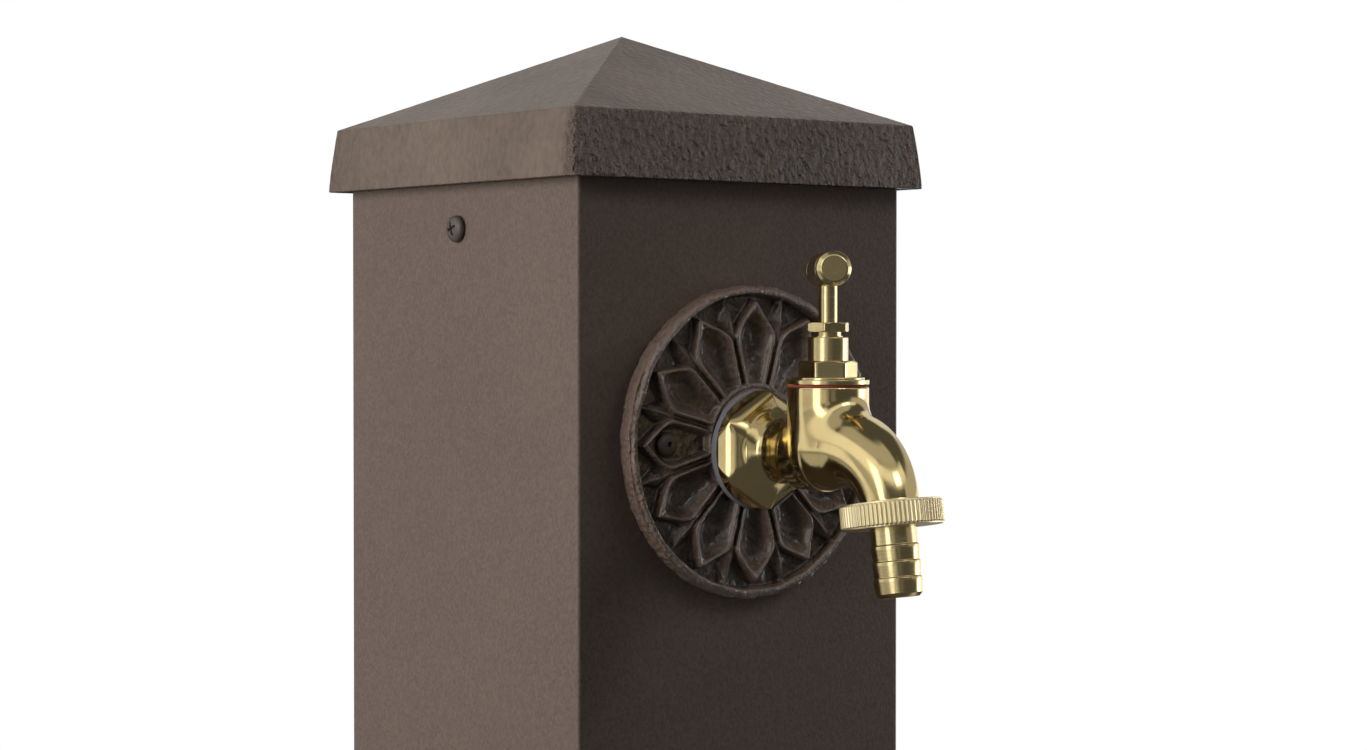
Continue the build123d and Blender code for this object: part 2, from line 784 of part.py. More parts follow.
# Handle: a turned cross bar with a swelled boss and a chamfered knob at each end
bar_dir = Vector(-sin(radians(handle_turn)), -cos(radians(handle_turn)), 0)
bar_origin = barrel.from_local_coords((0, 0, handle_z))
bar_side = Plane(origin=bar_origin, x_dir=bar_dir, z_dir=bar_dir.cross(Vector(0, 0, 1)))
groove_end = handle_half - handle_groove_at
with BuildPart() as handle_bar:
    with BuildSketch(bar_side):
        with BuildLine():
            Polyline(
                (0, 0),
                (handle_half, 0),
                (handle_half, handle_face_r),
                (handle_half - handle_chamfer, handle_r),
                (groove_end, handle_r),
                (groove_end, handle_r - handle_groove_deep),
                (groove_end - handle_groove, handle_r - handle_groove_deep),
                (groove_end - handle_groove, handle_r),
                (0, handle_r),
                close=True,
            )
        make_face()
    revolve(axis=Axis(bar_origin, bar_dir))
    mirror(about=Plane(origin=bar_origin, z_dir=bar_dir))
    with BuildSketch(barrel.offset(handle_z - handle_r - 1)):
        Circle(spindle_r + thread_clearance)
    extrude(amount=handle_r + 1, mode=Mode.SUBTRACT)

# One notch of the nut's straight knurl, along x and a little past the rim
nut_r = spout_collar_r + thread_clearance + nut_wall
with BuildSketch() as knurl_notch:
    with BuildLine():
        Polyline(
            (nut_r - knurl_depth, 0),
            (nut_r + knurl_depth, 2 * knurl_half),
            (nut_r + knurl_depth, -2 * knurl_half),
            close=True,
        )
    make_face()

# Knurled nut that draws the hose tail up to the spout
with BuildPart() as union_nut:
    with BuildSketch(mouth_plane.offset(nut_top)):
        Circle(nut_r - nut_land_step)
    extrude(amount=nut_height)
    with BuildSketch(mouth_plane.offset(nut_top + nut_land)):
        Circle(nut_r)
        with PolarLocations(0, knurl_count):
            add(knurl_notch.sketch, mode=Mode.SUBTRACT)
    extrude(amount=nut_height - 2 * nut_land)
    with BuildSketch(mouth_plane.offset(nut_top)):
        Circle(spout_collar_r + thread_clearance)
    extrude(amount=nut_height - nut_flange, mode=Mode.SUBTRACT)
    with BuildSketch(mouth_plane.offset(nut_top)):
        Circle(tail_r + nut_hole_clearance)
    extrude(amount=nut_height, mode=Mode.SUBTRACT)

# Gasket between the spout and the hose tail's collar
tail_collar_r = spout_collar_r - tail_collar_in
with BuildPart() as hose_gasket:
    with BuildSketch(mouth_plane.offset(spout_end)):
        Circle(tail_collar_r - tail_gasket_in)
        Circle(spout_bore_r, mode=Mode.SUBTRACT)
    extrude(amount=tail_gasket)

# Hose tail: collar in the nut, plain shank, low barbs with short lands and open bore
tail_end = nut_bottom + tail_length
collar_bottom = collar_top + tail_collar
barb_r = tail_r + barb_rise
tail_bore_r = tail_r - tail_wall
tail_points = [(tail_bore_r, collar_top), (tail_collar_r, collar_top), (tail_collar_r, collar_bottom)]
tail_points += [(tail_r, collar_bottom)]
for index in range(barb_count):
    crest = nut_bottom + barb_first + index * barb_pitch
    tail_points += [(tail_r, crest - barb_back), (barb_r, crest), (barb_r, crest + barb_land)]
tail_points += [(tail_r, tail_end - tail_chamfer), (tail_r - tail_chamfer, tail_end), (tail_bore_r, tail_end)]
with BuildPart() as hose_tail:
    with BuildSketch(mouth_side):
        with BuildLine():
            Polyline(*tail_points, close=True)
        make_face()
    revolve(axis=mouth_axis)

# Hardware behind the wall: flat washer and lock nut on the shank
wall_back = -post_wall
with BuildPart() as wall_washer:
    with BuildSketch(wall.offset(wall_back - lock_washer_thick)):
        Circle(lock_washer_r)
        Circle(pipe_thread_r + washer_clearance, mode=Mode.SUBTRACT)
    extrude(amount=lock_washer_thick)

lock_nut_back = wall_back - lock_washer_thick - lock_nut_thick
with BuildPart() as lock_nut:
    with BuildSketch(wall.offset(lock_nut_back)):
        RegularPolygon(lock_nut_flats / 2, 6, major_radius=False)
        Circle(pipe_thread_r + thread_clearance, mode=Mode.SUBTRACT)
    extrude(amount=lock_nut_thick)

# Elbow that turns the supply from the riser into the tap's shank
elbow_front = lock_nut_back - elbow_gap
elbow_depth = elbow_reach + elbow_front
elbow_r = pipe_thread_r + thread_clearance + elbow_wall
elbow_foot = Plane(origin=(0, riser_y, tap_height - elbow_drop))
with BuildPart() as inlet_elbow:
    with BuildSketch(wall.offset(elbow_front)):
        Circle(elbow_r)
    extrude(amount=-elbow_depth)
    with BuildSketch(wall.offset(elbow_front)):
        Circle(elbow_r + elbow_ring_out)
    extrude(amount=-elbow_ring)
    with Locations((0, riser_y, tap_height)):
        Sphere(elbow_r)
    with BuildSketch(elbow_foot):
        Circle(elbow_r)
    extrude(amount=elbow_drop)
    with BuildSketch(elbow_foot):
        Circle(elbow_r + elbow_ring_out)
    extrude(amount=elbow_ring)
    with BuildSketch(wall.offset(elbow_front)):
        Circle(elbow_bore_r)
    extrude(amount=-elbow_depth, mode=Mode.SUBTRACT)
    with Locations((0, riser_y, tap_height)):
        Sphere(elbow_bore_r, mode=Mode.SUBTRACT)
    with BuildSketch(elbow_foot):
        Circle(elbow_bore_r)
    extrude(amount=elbow_drop, mode=Mode.SUBTRACT)
    with BuildSketch(wall.offset(elbow_front)):
        Circle(pipe_thread_r + thread_clearance)
    extrude(amount=shank_end - elbow_front, mode=Mode.SUBTRACT)
    with BuildSketch(elbow_foot):
        Circle(pipe_thread_r + thread_clearance)
    extrude(amount=thread_depth, mode=Mode.SUBTRACT)

# Riser pipe with a thread at each end
riser_bottom = base_thick + riser_lift
riser_top = tap_height - elbow_drop + thread_depth
riser_foot = Plane(origin=(0, riser_y, riser_bottom))
riser_bore_r = riser_r - riser_wall
with BuildPart() as riser_pipe:
    with BuildSketch(riser_foot.offset(coupling_stop / 2)):
        Circle(pipe_thread_r)
    extrude(amount=riser_top - riser_bottom - coupling_stop / 2)
    with BuildSketch(riser_foot.offset(coupling_socket + coupling_gap)):
        Circle(riser_r)
    extrude(amount=riser_top - thread_depth - riser_bottom - coupling_socket - 2 * coupling_gap)
    with BuildSketch(riser_foot):
        Circle(riser_bore_r)
    extrude(amount=riser_top - riser_bottom, mode=Mode.SUBTRACT)

# Coupling over the opening in the base, with a stop between its two sockets
with BuildPart() as supply_coupling:
    with BuildSketch(riser_foot.offset(-coupling_socket)):
        Circle(pipe_thread_r + thread_clearance + coupling_wall)
    extrude(amount=2 * coupling_socket)
    chamfer(supply_coupling.edges().filter_by(GeomType.CIRCLE), coupling_edge)
    with BuildSketch(riser_foot.offset(-coupling_socket)):
        Circle(riser_bore_r)
    extrude(amount=2 * coupling_socket, mode=Mode.SUBTRACT)
    with BuildSketch(riser_foot.offset(-coupling_socket)):
        Circle(pipe_thread_r + thread_clearance)
    extrude(amount=coupling_socket - coupling_stop / 2, mode=Mode.SUBTRACT)
    with BuildSketch(riser_foot.offset(coupling_stop / 2)):
        Circle(pipe_thread_r + thread_clearance)
    extrude(amount=coupling_socket, mode=Mode.SUBTRACT)

# Clips that carry the riser on the inside of the front wall
wall_inside = front + post_wall
clip_heights = (riser_bottom + clip_rise, tap_height - elbow_drop - clip_drop)
clip_gap = riser_y - riser_r - wall_inside
with BuildPart() as pipe_clips:
    for height in clip_heights:
        band_foot = Plane(origin=(0, riser_y, height - clip_width / 2))
        clip_seat = Plane(origin=(0, wall_inside, height), x_dir=(1, 0, 0), z_dir=(0, 1, 0))
        with BuildSketch(band_foot):
            Circle(riser_r + clip_band)
        extrude(amount=clip_width)
        with BuildSketch(clip_seat):
            Circle(clip_stem_r)
        extrude(amount=clip_gap)
        with BuildSketch(clip_seat):
            RectangleRounded(clip_foot, clip_width, clip_foot_round)
        extrude(amount=clip_foot_thick)
        with BuildSketch(band_foot):
            Circle(riser_r + thread_clearance)
        extrude(amount=clip_width, mode=Mode.SUBTRACT)

# Labels, and one file for each piece
base_plate.part.label = "base_plate"
export_step(base_plate.part, "parts/base_plate.step")
column_post.part.label = "column_post"
export_step(column_post.part, "parts/column_post.step")
base_weld.part.label = "base_weld"
export_step(base_weld.part, "parts/base_weld.step")
pyramid_cap.part.label = "pyramid_cap"
export_step(pyramid_cap.part, "parts/pyramid_cap.step")
cap_screws.part.label = "cap_screws"
export_step(cap_screws.part, "parts/cap_screws.step")
rosette.part.label = "rosette"
export_step(rosette.part, "parts/rosette.step")
rosette_rivets.part.label = "rosette_rivets"
export_step(rosette_rivets.part, "parts/rosette_rivets.step")
flange_washer.part.label = "flange_washer"
export_step(flange_washer.part, "parts/flange_washer.step")
tap_body.part.label = "tap_body"
export_step(tap_body.part, "parts/tap_body.step")
bonnet_gasket.part.label = "bonnet_gasket"
export_step(bonnet_gasket.part, "parts/bonnet_gasket.step")
bonnet.part.label = "bonnet"
export_step(bonnet.part, "parts/bonnet.step")
gland_packing.part.label = "gland_packing"
export_step(gland_packing.part, "parts/gland_packing.step")
gland_nut.part.label = "gland_nut"
export_step(gland_nut.part, "parts/gland_nut.step")
valve_plate.part.label = "valve_plate"
export_step(valve_plate.part, "parts/valve_plate.step")
valve_washer.part.label = "valve_washer"
export_step(valve_washer.part, "parts/valve_washer.step")
valve_nut.part.label = "valve_nut"
export_step(valve_nut.part, "parts/valve_nut.step")
spindle.part.label = "spindle"
export_step(spindle.part, "parts/spindle.step")
handle_bar.part.label = "handle_bar"
export_step(handle_bar.part, "parts/handle_bar.step")
union_nut.part.label = "union_nut"
export_step(union_nut.part, "parts/union_nut.step")
hose_gasket.part.label = "hose_gasket"
export_step(hose_gasket.part, "parts/hose_gasket.step")
hose_tail.part.label = "hose_tail"
export_step(hose_tail.part, "parts/hose_tail.step")
wall_washer.part.label = "wall_washer"
export_step(wall_washer.part, "parts/wall_washer.step")
lock_nut.part.label = "lock_nut"
export_step(lock_nut.part, "parts/lock_nut.step")
inlet_elbow.part.label = "inlet_elbow"
export_step(inlet_elbow.part, "parts/inlet_elbow.step")
riser_pipe.part.label = "riser_pipe"
export_step(riser_pipe.part, "parts/riser_pipe.step")
supply_coupling.part.label = "supply_coupling"
export_step(supply_coupling.part, "parts/supply_coupling.step")
pipe_clips.part.label = "pipe_clips"
export_step(pipe_clips.part, "parts/pipe_clips.step")
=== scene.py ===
# %% [markdown]
# # A garden water fountain, one surface at a time
# The real object is a square steel column with a cast cap, a cast rosette and a brass tap.
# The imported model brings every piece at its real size. This lesson gives them their looks:
# flat sheet pieces keep their solids and get a paint, and the turned, cast and polished
# pieces get new surfaces, because a polished curve shows every facet.

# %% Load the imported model
import json
import math
import bmesh
import bpy
import numpy as np
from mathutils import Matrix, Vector


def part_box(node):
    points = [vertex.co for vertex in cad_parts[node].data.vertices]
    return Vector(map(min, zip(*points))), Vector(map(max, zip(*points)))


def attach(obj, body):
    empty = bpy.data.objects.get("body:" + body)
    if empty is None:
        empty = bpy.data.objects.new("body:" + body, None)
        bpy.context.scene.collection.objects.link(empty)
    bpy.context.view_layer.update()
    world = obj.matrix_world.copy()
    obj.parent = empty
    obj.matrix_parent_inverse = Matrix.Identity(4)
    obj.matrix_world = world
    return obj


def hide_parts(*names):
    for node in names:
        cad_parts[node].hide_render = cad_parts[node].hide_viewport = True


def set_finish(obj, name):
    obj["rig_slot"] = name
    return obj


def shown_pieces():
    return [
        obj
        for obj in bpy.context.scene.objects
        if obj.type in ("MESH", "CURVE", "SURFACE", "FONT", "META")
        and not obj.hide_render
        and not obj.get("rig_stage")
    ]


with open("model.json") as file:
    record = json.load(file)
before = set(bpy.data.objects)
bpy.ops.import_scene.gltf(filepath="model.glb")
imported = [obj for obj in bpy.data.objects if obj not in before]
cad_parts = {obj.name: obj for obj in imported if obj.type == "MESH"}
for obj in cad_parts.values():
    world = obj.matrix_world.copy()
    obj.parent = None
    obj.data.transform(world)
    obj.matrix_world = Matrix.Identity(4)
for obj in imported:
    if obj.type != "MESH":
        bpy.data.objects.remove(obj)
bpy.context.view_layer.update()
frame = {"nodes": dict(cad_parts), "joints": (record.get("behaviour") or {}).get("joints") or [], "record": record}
MM = 0.001
MERGE_DISTANCE, NORMAL_WEIGHT = 1e-7, 80

# %% [markdown]
# ## Camera
# The photograph was taken from the front left, level with the top of the column, with a
# long lens. The place, turn and lens were fitted to the column's edges and the cap.

# %% Camera
CAMERA_PLACE = (-0.5585, -0.7483, 0.9036)
CAMERA_TURN, CAMERA_PITCH = 38.0, -0.999
CAMERA_LENS, CAMERA_SENSOR, CAMERA_NEAR = 73.76, 36.0, 0.01


def add_object(name, data):
    """New object in the scene that shows the data."""
    made = bpy.data.objects.new(name, data)
    bpy.context.scene.collection.objects.link(made)
    return made


def make_camera():
    """Camera at its fitted place, turned right of +Y and a little down."""
    data = bpy.data.cameras.new("photo_camera")
    data.sensor_width, data.lens, data.clip_start = CAMERA_SENSOR, CAMERA_LENS, CAMERA_NEAR
    camera = add_object("photo_camera", data)
    camera.location = CAMERA_PLACE
    camera.rotation_euler = (math.radians(90 + CAMERA_PITCH), 0, math.radians(-CAMERA_TURN))
    bpy.context.scene.camera = camera
    return camera


camera = make_camera()
print("camera", [round(x, 3) for x in camera.location], "lens", CAMERA_LENS)

# %% [markdown]
# ## Light and floor
# Paint and polished brass need different light. Paint shows how much light falls on it, so
# three large soft lamps set the tones of its sides: a key at the left, a weaker one high at
# the right and one overhead. Brass shows what stands round it, so reflections meet a room
# of their own: lamps and pale panels from the left to over the camera, a fainter ceiling,
# the white background, a lamp and a window at the right, a wall behind, and two patches of
# a table below, in a dark room.

# %% Light and floor
TAP_PLACE = (0.0, -0.105, 0.875)
WHITE = (1.0, 1.0, 1.0)
# each lamp: its turn and lift in degrees, its distance and its sides in metres, its watts
LAMPS = {
    "key_softbox": (93, 9, 1.8, (1.3, 1.5), 54),
    "right_softbox": (-55, 35, 1.9, (0.8, 0.8), 17.5),
    "top_softbox": (180, 86, 1.8, (1.0, 1.0), 14.5),
}


def bearing(turn, lift):
    """Unit direction, turned left of the column's front normal and lifted, in degrees."""
    turn, lift = math.radians(turn), math.radians(lift)
    level = math.cos(lift)
    return Vector((-math.sin(turn) * level, -math.cos(turn) * level, math.sin(lift)))


def make_lamps():
    """Soft lamps, each at its bearing from the tap and pointed at it. No mirror shows them."""
    for name, (turn, lift, away, sides, watts) in LAMPS.items():
        data = bpy.data.lights.new(name, "AREA")
        data.shape = "RECTANGLE"
        data.size, data.size_y = sides
        data.energy = watts
        lamp = add_object(name, data)
        way = bearing(turn, lift)
        lamp.location = Vector(TAP_PLACE) + away * way
        lamp.rotation_euler = (-way).to_track_quat("-Z", "Y").to_euler()
        lamp.visible_glossy = False


def fill(tree, made, **inputs):
    """Fills a node's sockets, by name with underscores for spaces, or by number as i0, i1.

    A value is a number, a vector, a colour, or another node's socket, which is linked.
    """
    for key, value in inputs.items():
        if key[0] == "i" and key[1:].isdigit():
            socket = made.inputs[int(key[1:])]
        else:
            label = key.replace("_", " ").lower()
            socket = next(s for s in made.inputs if s.name.lower() == label)
        if isinstance(value, bpy.types.NodeSocket):
            tree.links.new(value, socket)
        else:
            socket.default_value = (*value, 1.0) if socket.type == "RGBA" else value


def node(tree, kind, **inputs):
    """New shader node with its sockets filled."""
    made = tree.nodes.new("ShaderNode" + kind)
    fill(tree, made, **inputs)
    return made


def output(tree, kind, which=0, **inputs):
    """One output of a new shader node."""
    return node(tree, kind, **inputs).outputs[which]


def math_node(tree, operation, *values, vector=False):
    """Output of a Math or a Vector Math node. A length or a dot product is its second."""
    sockets = {f"i{index}": value for index, value in enumerate(values)}
    made = node(tree, "VectorMath" if vector else "Math", **sockets)
    made.operation = operation
    return made.outputs[operation in ("LENGTH", "DOT_PRODUCT")]


def span(tree, value, low, high, to_low=0.0, to_high=1.0, smooth=False):
    """Value carried from one range to another, in a line or a smooth step, and held there."""
    ends = dict(From_Min=low, From_Max=high, To_Min=to_low, To_Max=to_high)
    made = node(tree, "MapRange", Value=value, **ends)
    if smooth:
        made.interpolation_type = "SMOOTHSTEP"
    return made.outputs[0]


def new_group(name, inputs, outputs):
    """Empty node group. Its inputs are numbers at given values, or a vector where it is None."""
    group = bpy.data.node_groups.new(name, "ShaderNodeTree")
    sockets = group.interface
    for label, value in inputs.items():
        kind = "NodeSocketVector" if value is None else "NodeSocketFloat"
        socket = sockets.new_socket(name=label, in_out="INPUT", socket_type=kind)
        if value is not None:
            socket.default_value = value
    for label in outputs:
        sockets.new_socket(name=label, in_out="OUTPUT", socket_type="NodeSocketFloat")
    given, out = (group.nodes.new(kind) for kind in ("NodeGroupInput", "NodeGroupOutput"))
    return group, given.outputs, out.inputs


def place_group(tree, group, **inputs):
    """Outputs of one use of a shared group."""
    made = node(tree, "Group")
    made.node_tree = group
    fill(tree, made, **inputs)
    return made.outputs


def clear_tree(owner):
    """Empty node tree of a material or a world."""
    owner.use_nodes = True
    owner.node_tree.nodes.clear()
    return owner.node_tree


# each part of the room: its middle turn and half width, its lower and upper lift, the
# softness of its edges, all in degrees, and its level
ROOM = {
    "left_light": ((102, 48), (12, 45), 6, 1.0),
    "left_lamp": ((73, 9), (-9, 31), 4, 2.6),
    "far_lamp": ((142, 9), (6, 15), 5, 1.8),
    "near_lamp": ((46, 7), (-5, 12), 4, 0.4),
    "near_glow": ((26, 6), (-6, 8), 4, 0.22),
    "front_light": ((6, 54), (25, 42), 5, 0.95),
    "front_lamp": ((-5, 13), (27, 38), 4, 4.0),
    "ceiling": ((57, 88), (42, 76), 8, 0.45),
    "left_wall": ((100, 55), (-10, 0), 3, 0.80),
    "left_strip": ((128, 13), (-10, 14), 4, 0.95),
    "left_dim": ((98, 24), (0, 14), 4, 0.45),
    "background": ((-95, 42), (-16, 7), 5, 1.25),
    "right_lamp": ((-72, 12), (-14, 5), 4, 4.0),
    "right_wall": ((-85, 60), (7, 30), 6, 0.50),
    "right_window": ((-122, 11), (14, 44), 5, 0.80),
    "back_wall": ((-160, 16), (14, 42), 6, 0.55),
    "left_table": ((124, 12), (-45, -12), 6, 0.48),
    "right_table": ((-88, 26), (-62, -42), 6, 0.55),
}
DARK_ROOM, AMBIENT = 0.085, 0.02


def room_group():
    """What reflections meet in a direction: the highest of the room's soft panels.

    A panel is the product of three smooth steps: one of the cosine of the turn from its
    middle, and two of the direction's height, which is the sine of its lift.
    """
    group, given, out = new_group("room", {"Direction": None}, ["Level"])
    height = output(group, "SeparateXYZ", "Z", Vector=given[0])
    level_part = math_node(group, "MULTIPLY", given[0], (1.0, 1.0, 0.0), vector=True)
    level_way = math_node(group, "NORMALIZE", level_part, vector=True)
    level = DARK_ROOM
    for (turn, half), (low, high), soft, strength in ROOM.values():
        middle = tuple(bearing(turn, 0))
        facing = math_node(group, "DOT_PRODUCT", level_way, middle, vector=True)
        edges = [math.cos(math.radians(half + soft)), math.cos(math.radians(half - soft))]
        panel = span(group, facing, *edges, smooth=True)
        for lifts in ((low - soft, low + soft), (high + soft, high - soft)):
            ends = [math.sin(math.radians(lift)) for lift in lifts]
            panel = math_node(group, "MULTIPLY", panel, span(group, height, *ends, smooth=True))
        level = math_node(group, "MAXIMUM", math_node(group, "MULTIPLY", panel, strength), level)
    group.links.new(level, out[0])
    return group


ROOM_LEVEL = room_group()


def ray_kinds(tree):
    """Three switches: 1 for a camera ray, for a reflected or refracted one, for a soft one."""
    rays = node(tree, "LightPath").outputs
    shiny = math_node(tree, "MAXIMUM", rays["Is Glossy Ray"], rays["Is Transmission Ray"])
    return rays["Is Camera Ray"], shiny, rays["Is Diffuse Ray"]


def make_world():
    """White for the camera, the room for reflections, and a low even level for the rest."""
    world = bpy.data.worlds.new("studio")
    tree = clear_tree(world)
    place = node(tree, "TexCoord").outputs
    room = place_group(tree, ROOM_LEVEL, Direction=place["Generated"])[0]
    seen, shiny, _ = ray_kinds(tree)
    soft = output(tree, "Mix", Factor=shiny, A=AMBIENT, B=room)
    strength = output(tree, "Mix", Factor=seen, A=soft, B=1.0)
    back = output(tree, "Background", Color=WHITE, Strength=strength)
    node(tree, "OutputWorld", Surface=back)
    bpy.context.scene.world = world


FLOOR_HALF, FLOOR_FADE, FLOOR_NEAR_WHITE = 4.0, (0.6, 1.6), 0.55
FLOOR_PALE, FLOOR_BOUNCE = 0.8, 0.06


def make_floor():
    """Pale floor that keeps the shadow near the object and fades to white further out.

    The camera sees a pale matt floor mixed with white. Reflections meet the room's level,
    and light that bounces off the floor is weak, as from a floor far outside the lamps.
    """
    mesh = bpy.data.meshes.new("floor")
    signs = ((-1, -1), (1, -1), (1, 1), (-1, 1))
    mesh.from_pydata([(x * FLOOR_HALF, y * FLOOR_HALF, 0) for x, y in signs], [], [(0, 1, 2, 3)])
    floor = add_object("floor", mesh)
    material = bpy.data.materials.new("pale_floor")
    tree = clear_tree(material)
    place = output(tree, "TexCoord", "Object")
    distance = math_node(tree, "LENGTH", place, vector=True)
    fade = span(tree, distance, *FLOOR_FADE, FLOOR_NEAR_WHITE, 1.0, smooth=True)
    from_tap = math_node(tree, "SUBTRACT", place, TAP_PLACE, vector=True)
    way = math_node(tree, "NORMALIZE", from_tap, vector=True)
    room = place_group(tree, ROOM_LEVEL, Direction=way)[0]
    seen, shiny, bounced = ray_kinds(tree)
    share = math_node(tree, "MAXIMUM", math_node(tree, "MULTIPLY", seen, fade), shiny)
    strength = output(tree, "Mix", Factor=seen, A=room, B=1.0)
    pale = span(tree, bounced, 0.0, 1.0, FLOOR_PALE, FLOOR_BOUNCE)
    matt = output(tree, "BsdfDiffuse", Color=pale)
    white = output(tree, "Emission", Color=WHITE, Strength=strength)
    mix = output(tree, "MixShader", i0=share, i1=matt, i2=white)
    node(tree, "OutputMaterial", Surface=mix)
    mesh.materials.append(material)
    floor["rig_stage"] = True


make_lamps()
make_world()
make_floor()
bpy.context.scene.view_settings.view_transform = "Standard"
print("lamps", len(LAMPS), "parts of the room", len(ROOM))

# %% [markdown]
# ## Three ways to make a surface
# A turned piece is a profile carried round an axis. A cast ornament is a height over a
# disc. The tap's body, where tubes melt into each other, is the zero level of a distance
# that is blended between its forms. All three are worked out on whole arrays.

# %% Grid to mesh
def rounded(points, radius, ring=False, steps=5):
    """Polyline with its corners rounded by a quadratic curve.

    Each corner is cut back by the radius, or by 0.45 of its shorter side, and the curve
    (1-t)^2 A + 2t(1-t) C + t^2 B runs between the two cuts A and B with the corner C.
    """
    points = np.asarray(points, float)
    if ring:
        before, corner, after = np.roll(points, 1, 0), points, np.roll(points, -1, 0)
    else:
        before, corner, after = points[:-2], points[1:-1], points[2:]
    radius = np.broadcast_to(np.asarray(radius, float), (len(corner),))[:, None]
    back, on = before - corner, after - corner
    long_back = np.linalg.norm(back, axis=1, keepdims=True)
    long_on = np.linalg.norm(on, axis=1, keepdims=True)
    cut = np.minimum(radius, 0.45 * np.minimum(long_back, long_on))
    start, end = corner + back / long_back * cut, corner + on / long_on * cut
    t = np.linspace(0, 1, steps)[None, :, None]
    curve = (1 - t) ** 2 * start[:, None] + 2 * t * (1 - t) * corner[:, None] + t**2 * end[:, None]
    curve = curve.reshape(-1, points.shape[1])
    return curve if ring else np.vstack([points[:1], curve, points[-1:]])


def round_angles(columns):
    """Even angles once round, as one row."""
    return np.linspace(0, 2 * np.pi, columns, endpoint=False)[None, :]


def skin(name, grid, ring_rows=False, attributes=None):
    """Mesh object from a grid of points in millimetres, rows by columns by three.

    The columns close on themselves, and the rows too where they are a ring. The UV map
    holds the share round the piece and the length along the profile in millimetres.
    Points that meet at a pole are merged, and the faces are turned outwards.
    """
    rows, columns = grid.shape[:2]
    up = np.arange(rows if ring_rows else rows - 1)[:, None, None] + [0, 0, 1, 1]
    across = np.arange(columns)[None, :, None] + [0, 1, 1, 0]
    faces = (up % rows * columns + across % columns).reshape(-1, 4)
    mesh = bpy.data.meshes.new(name)
    mesh.from_pydata((grid.reshape(-1, 3) * MM).tolist(), [], faces.tolist())
    step = np.linalg.norm(np.diff(grid, axis=0), axis=2).mean(1)
    along = np.concatenate([[0.0], np.cumsum(step), [step.sum() + 1.0]])
    uv = np.stack(np.broadcast_arrays(across / columns, along[up]), axis=-1)
    layer = mesh.uv_layers.new(name="along")
    layer.data.foreach_set("uv", uv.reshape(-1).astype(np.float32))
    for label, values in (attributes or {}).items():
        made = mesh.attributes.new(label, "FLOAT", "POINT")
        values = np.broadcast_to(values, grid.shape[:2])
        made.data.foreach_set("value", values.reshape(-1).astype(np.float32))
    work = bmesh.new()
    work.from_mesh(mesh)
    bmesh.ops.remove_doubles(work, verts=work.verts, dist=MERGE_DISTANCE)
    bmesh.ops.recalc_face_normals(work, faces=work.faces)
    return finish_mesh(name, mesh, work)


def finish_mesh(name, mesh, work):
    """Object with the working mesh, its faces turned outwards and shaded smooth."""
    if work.calc_volume(signed=True) < 0:
        bmesh.ops.reverse_faces(work, faces=work.faces)
    work.to_mesh(mesh)
    work.free()
    mesh.shade_smooth()
    print(name, "points", len(mesh.vertices), "faces", len(mesh.polygons))
    return add_object(name, mesh)


def joined(name, pieces):
    """Several mesh objects made one, with their meshes kept as they are."""
    work = bmesh.new()
    for piece in pieces:
        work.from_mesh(piece.data)
        bpy.data.objects.remove(piece)
    return weigh_normals(finish_mesh(name, bpy.data.meshes.new(name), work))


def weigh_normals(piece):
    """Lets the large faces set the shading, so flats stay flat beside small rounds."""
    modifier = piece.modifiers.new("weighted", "WEIGHTED_NORMAL")
    modifier.weight = NORMAL_WEIGHT
    modifier.keep_sharp = False
    return piece


def turned(name, profile, axis_plane, columns=96, ring=False, wave=None, attributes=None):
    """Surface of revolution: each (radius, station) of the profile carried round an axis.

    The point is origin + station * axis + radius * (cos a * x + sin a * y). A wave, if it
    is given, is a function of (radius, station, angle) that returns a new radius.
    """
    origin, x_dir, y_dir, axis = axis_plane
    angle = round_angles(columns)
    radius, station = (np.repeat(part[:, None], columns, axis=1) for part in np.transpose(profile))
    if wave is not None:
        radius = wave(radius, station, angle)
    grid = (
        origin
        + station[..., None] * axis
        + (radius * np.cos(angle))[..., None] * x_dir
        + (radius * np.sin(angle))[..., None] * y_dir
    )
    return weigh_normals(skin(name, grid, ring_rows=ring, attributes=attributes))


def dress(piece, body, stands_for, finish="turned_brass"):
    """The piece rides on a body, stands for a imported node, and names its finish."""
    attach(piece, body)
    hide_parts(stands_for)
    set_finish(piece, finish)


def lathe(wear, name, axis, corners, rounds, columns=96, ring=True, **more):
    """Turned piece from the corners of its profile and their rounds, dressed as it is worn."""
    profile = rounded(corners, rounds, ring=ring)
    dress(turned(name, profile, axis, columns, ring=ring, **more), *wear)


# %% [markdown]
# ## Places on the tap
# The tap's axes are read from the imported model: the flange axis from the washer, the
# barrel's axis from the gasket under the bonnet, and the mouth's axis from the joint of
# the union nut. All lengths below are in millimetres.

# %% Places on the tap
def box_mm(name):
    """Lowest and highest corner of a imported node, in millimetres."""
    low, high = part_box(name)
    return np.array(low) / MM, np.array(high) / MM


def half_width(name):
    """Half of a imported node's width."""
    low, high = box_mm(name)
    return (high[0] - low[0]) / 2


def heights(name):
    """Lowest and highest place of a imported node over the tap's axis."""
    low, high = box_mm(name)
    return low[2] - axis_z, high[2] - axis_z


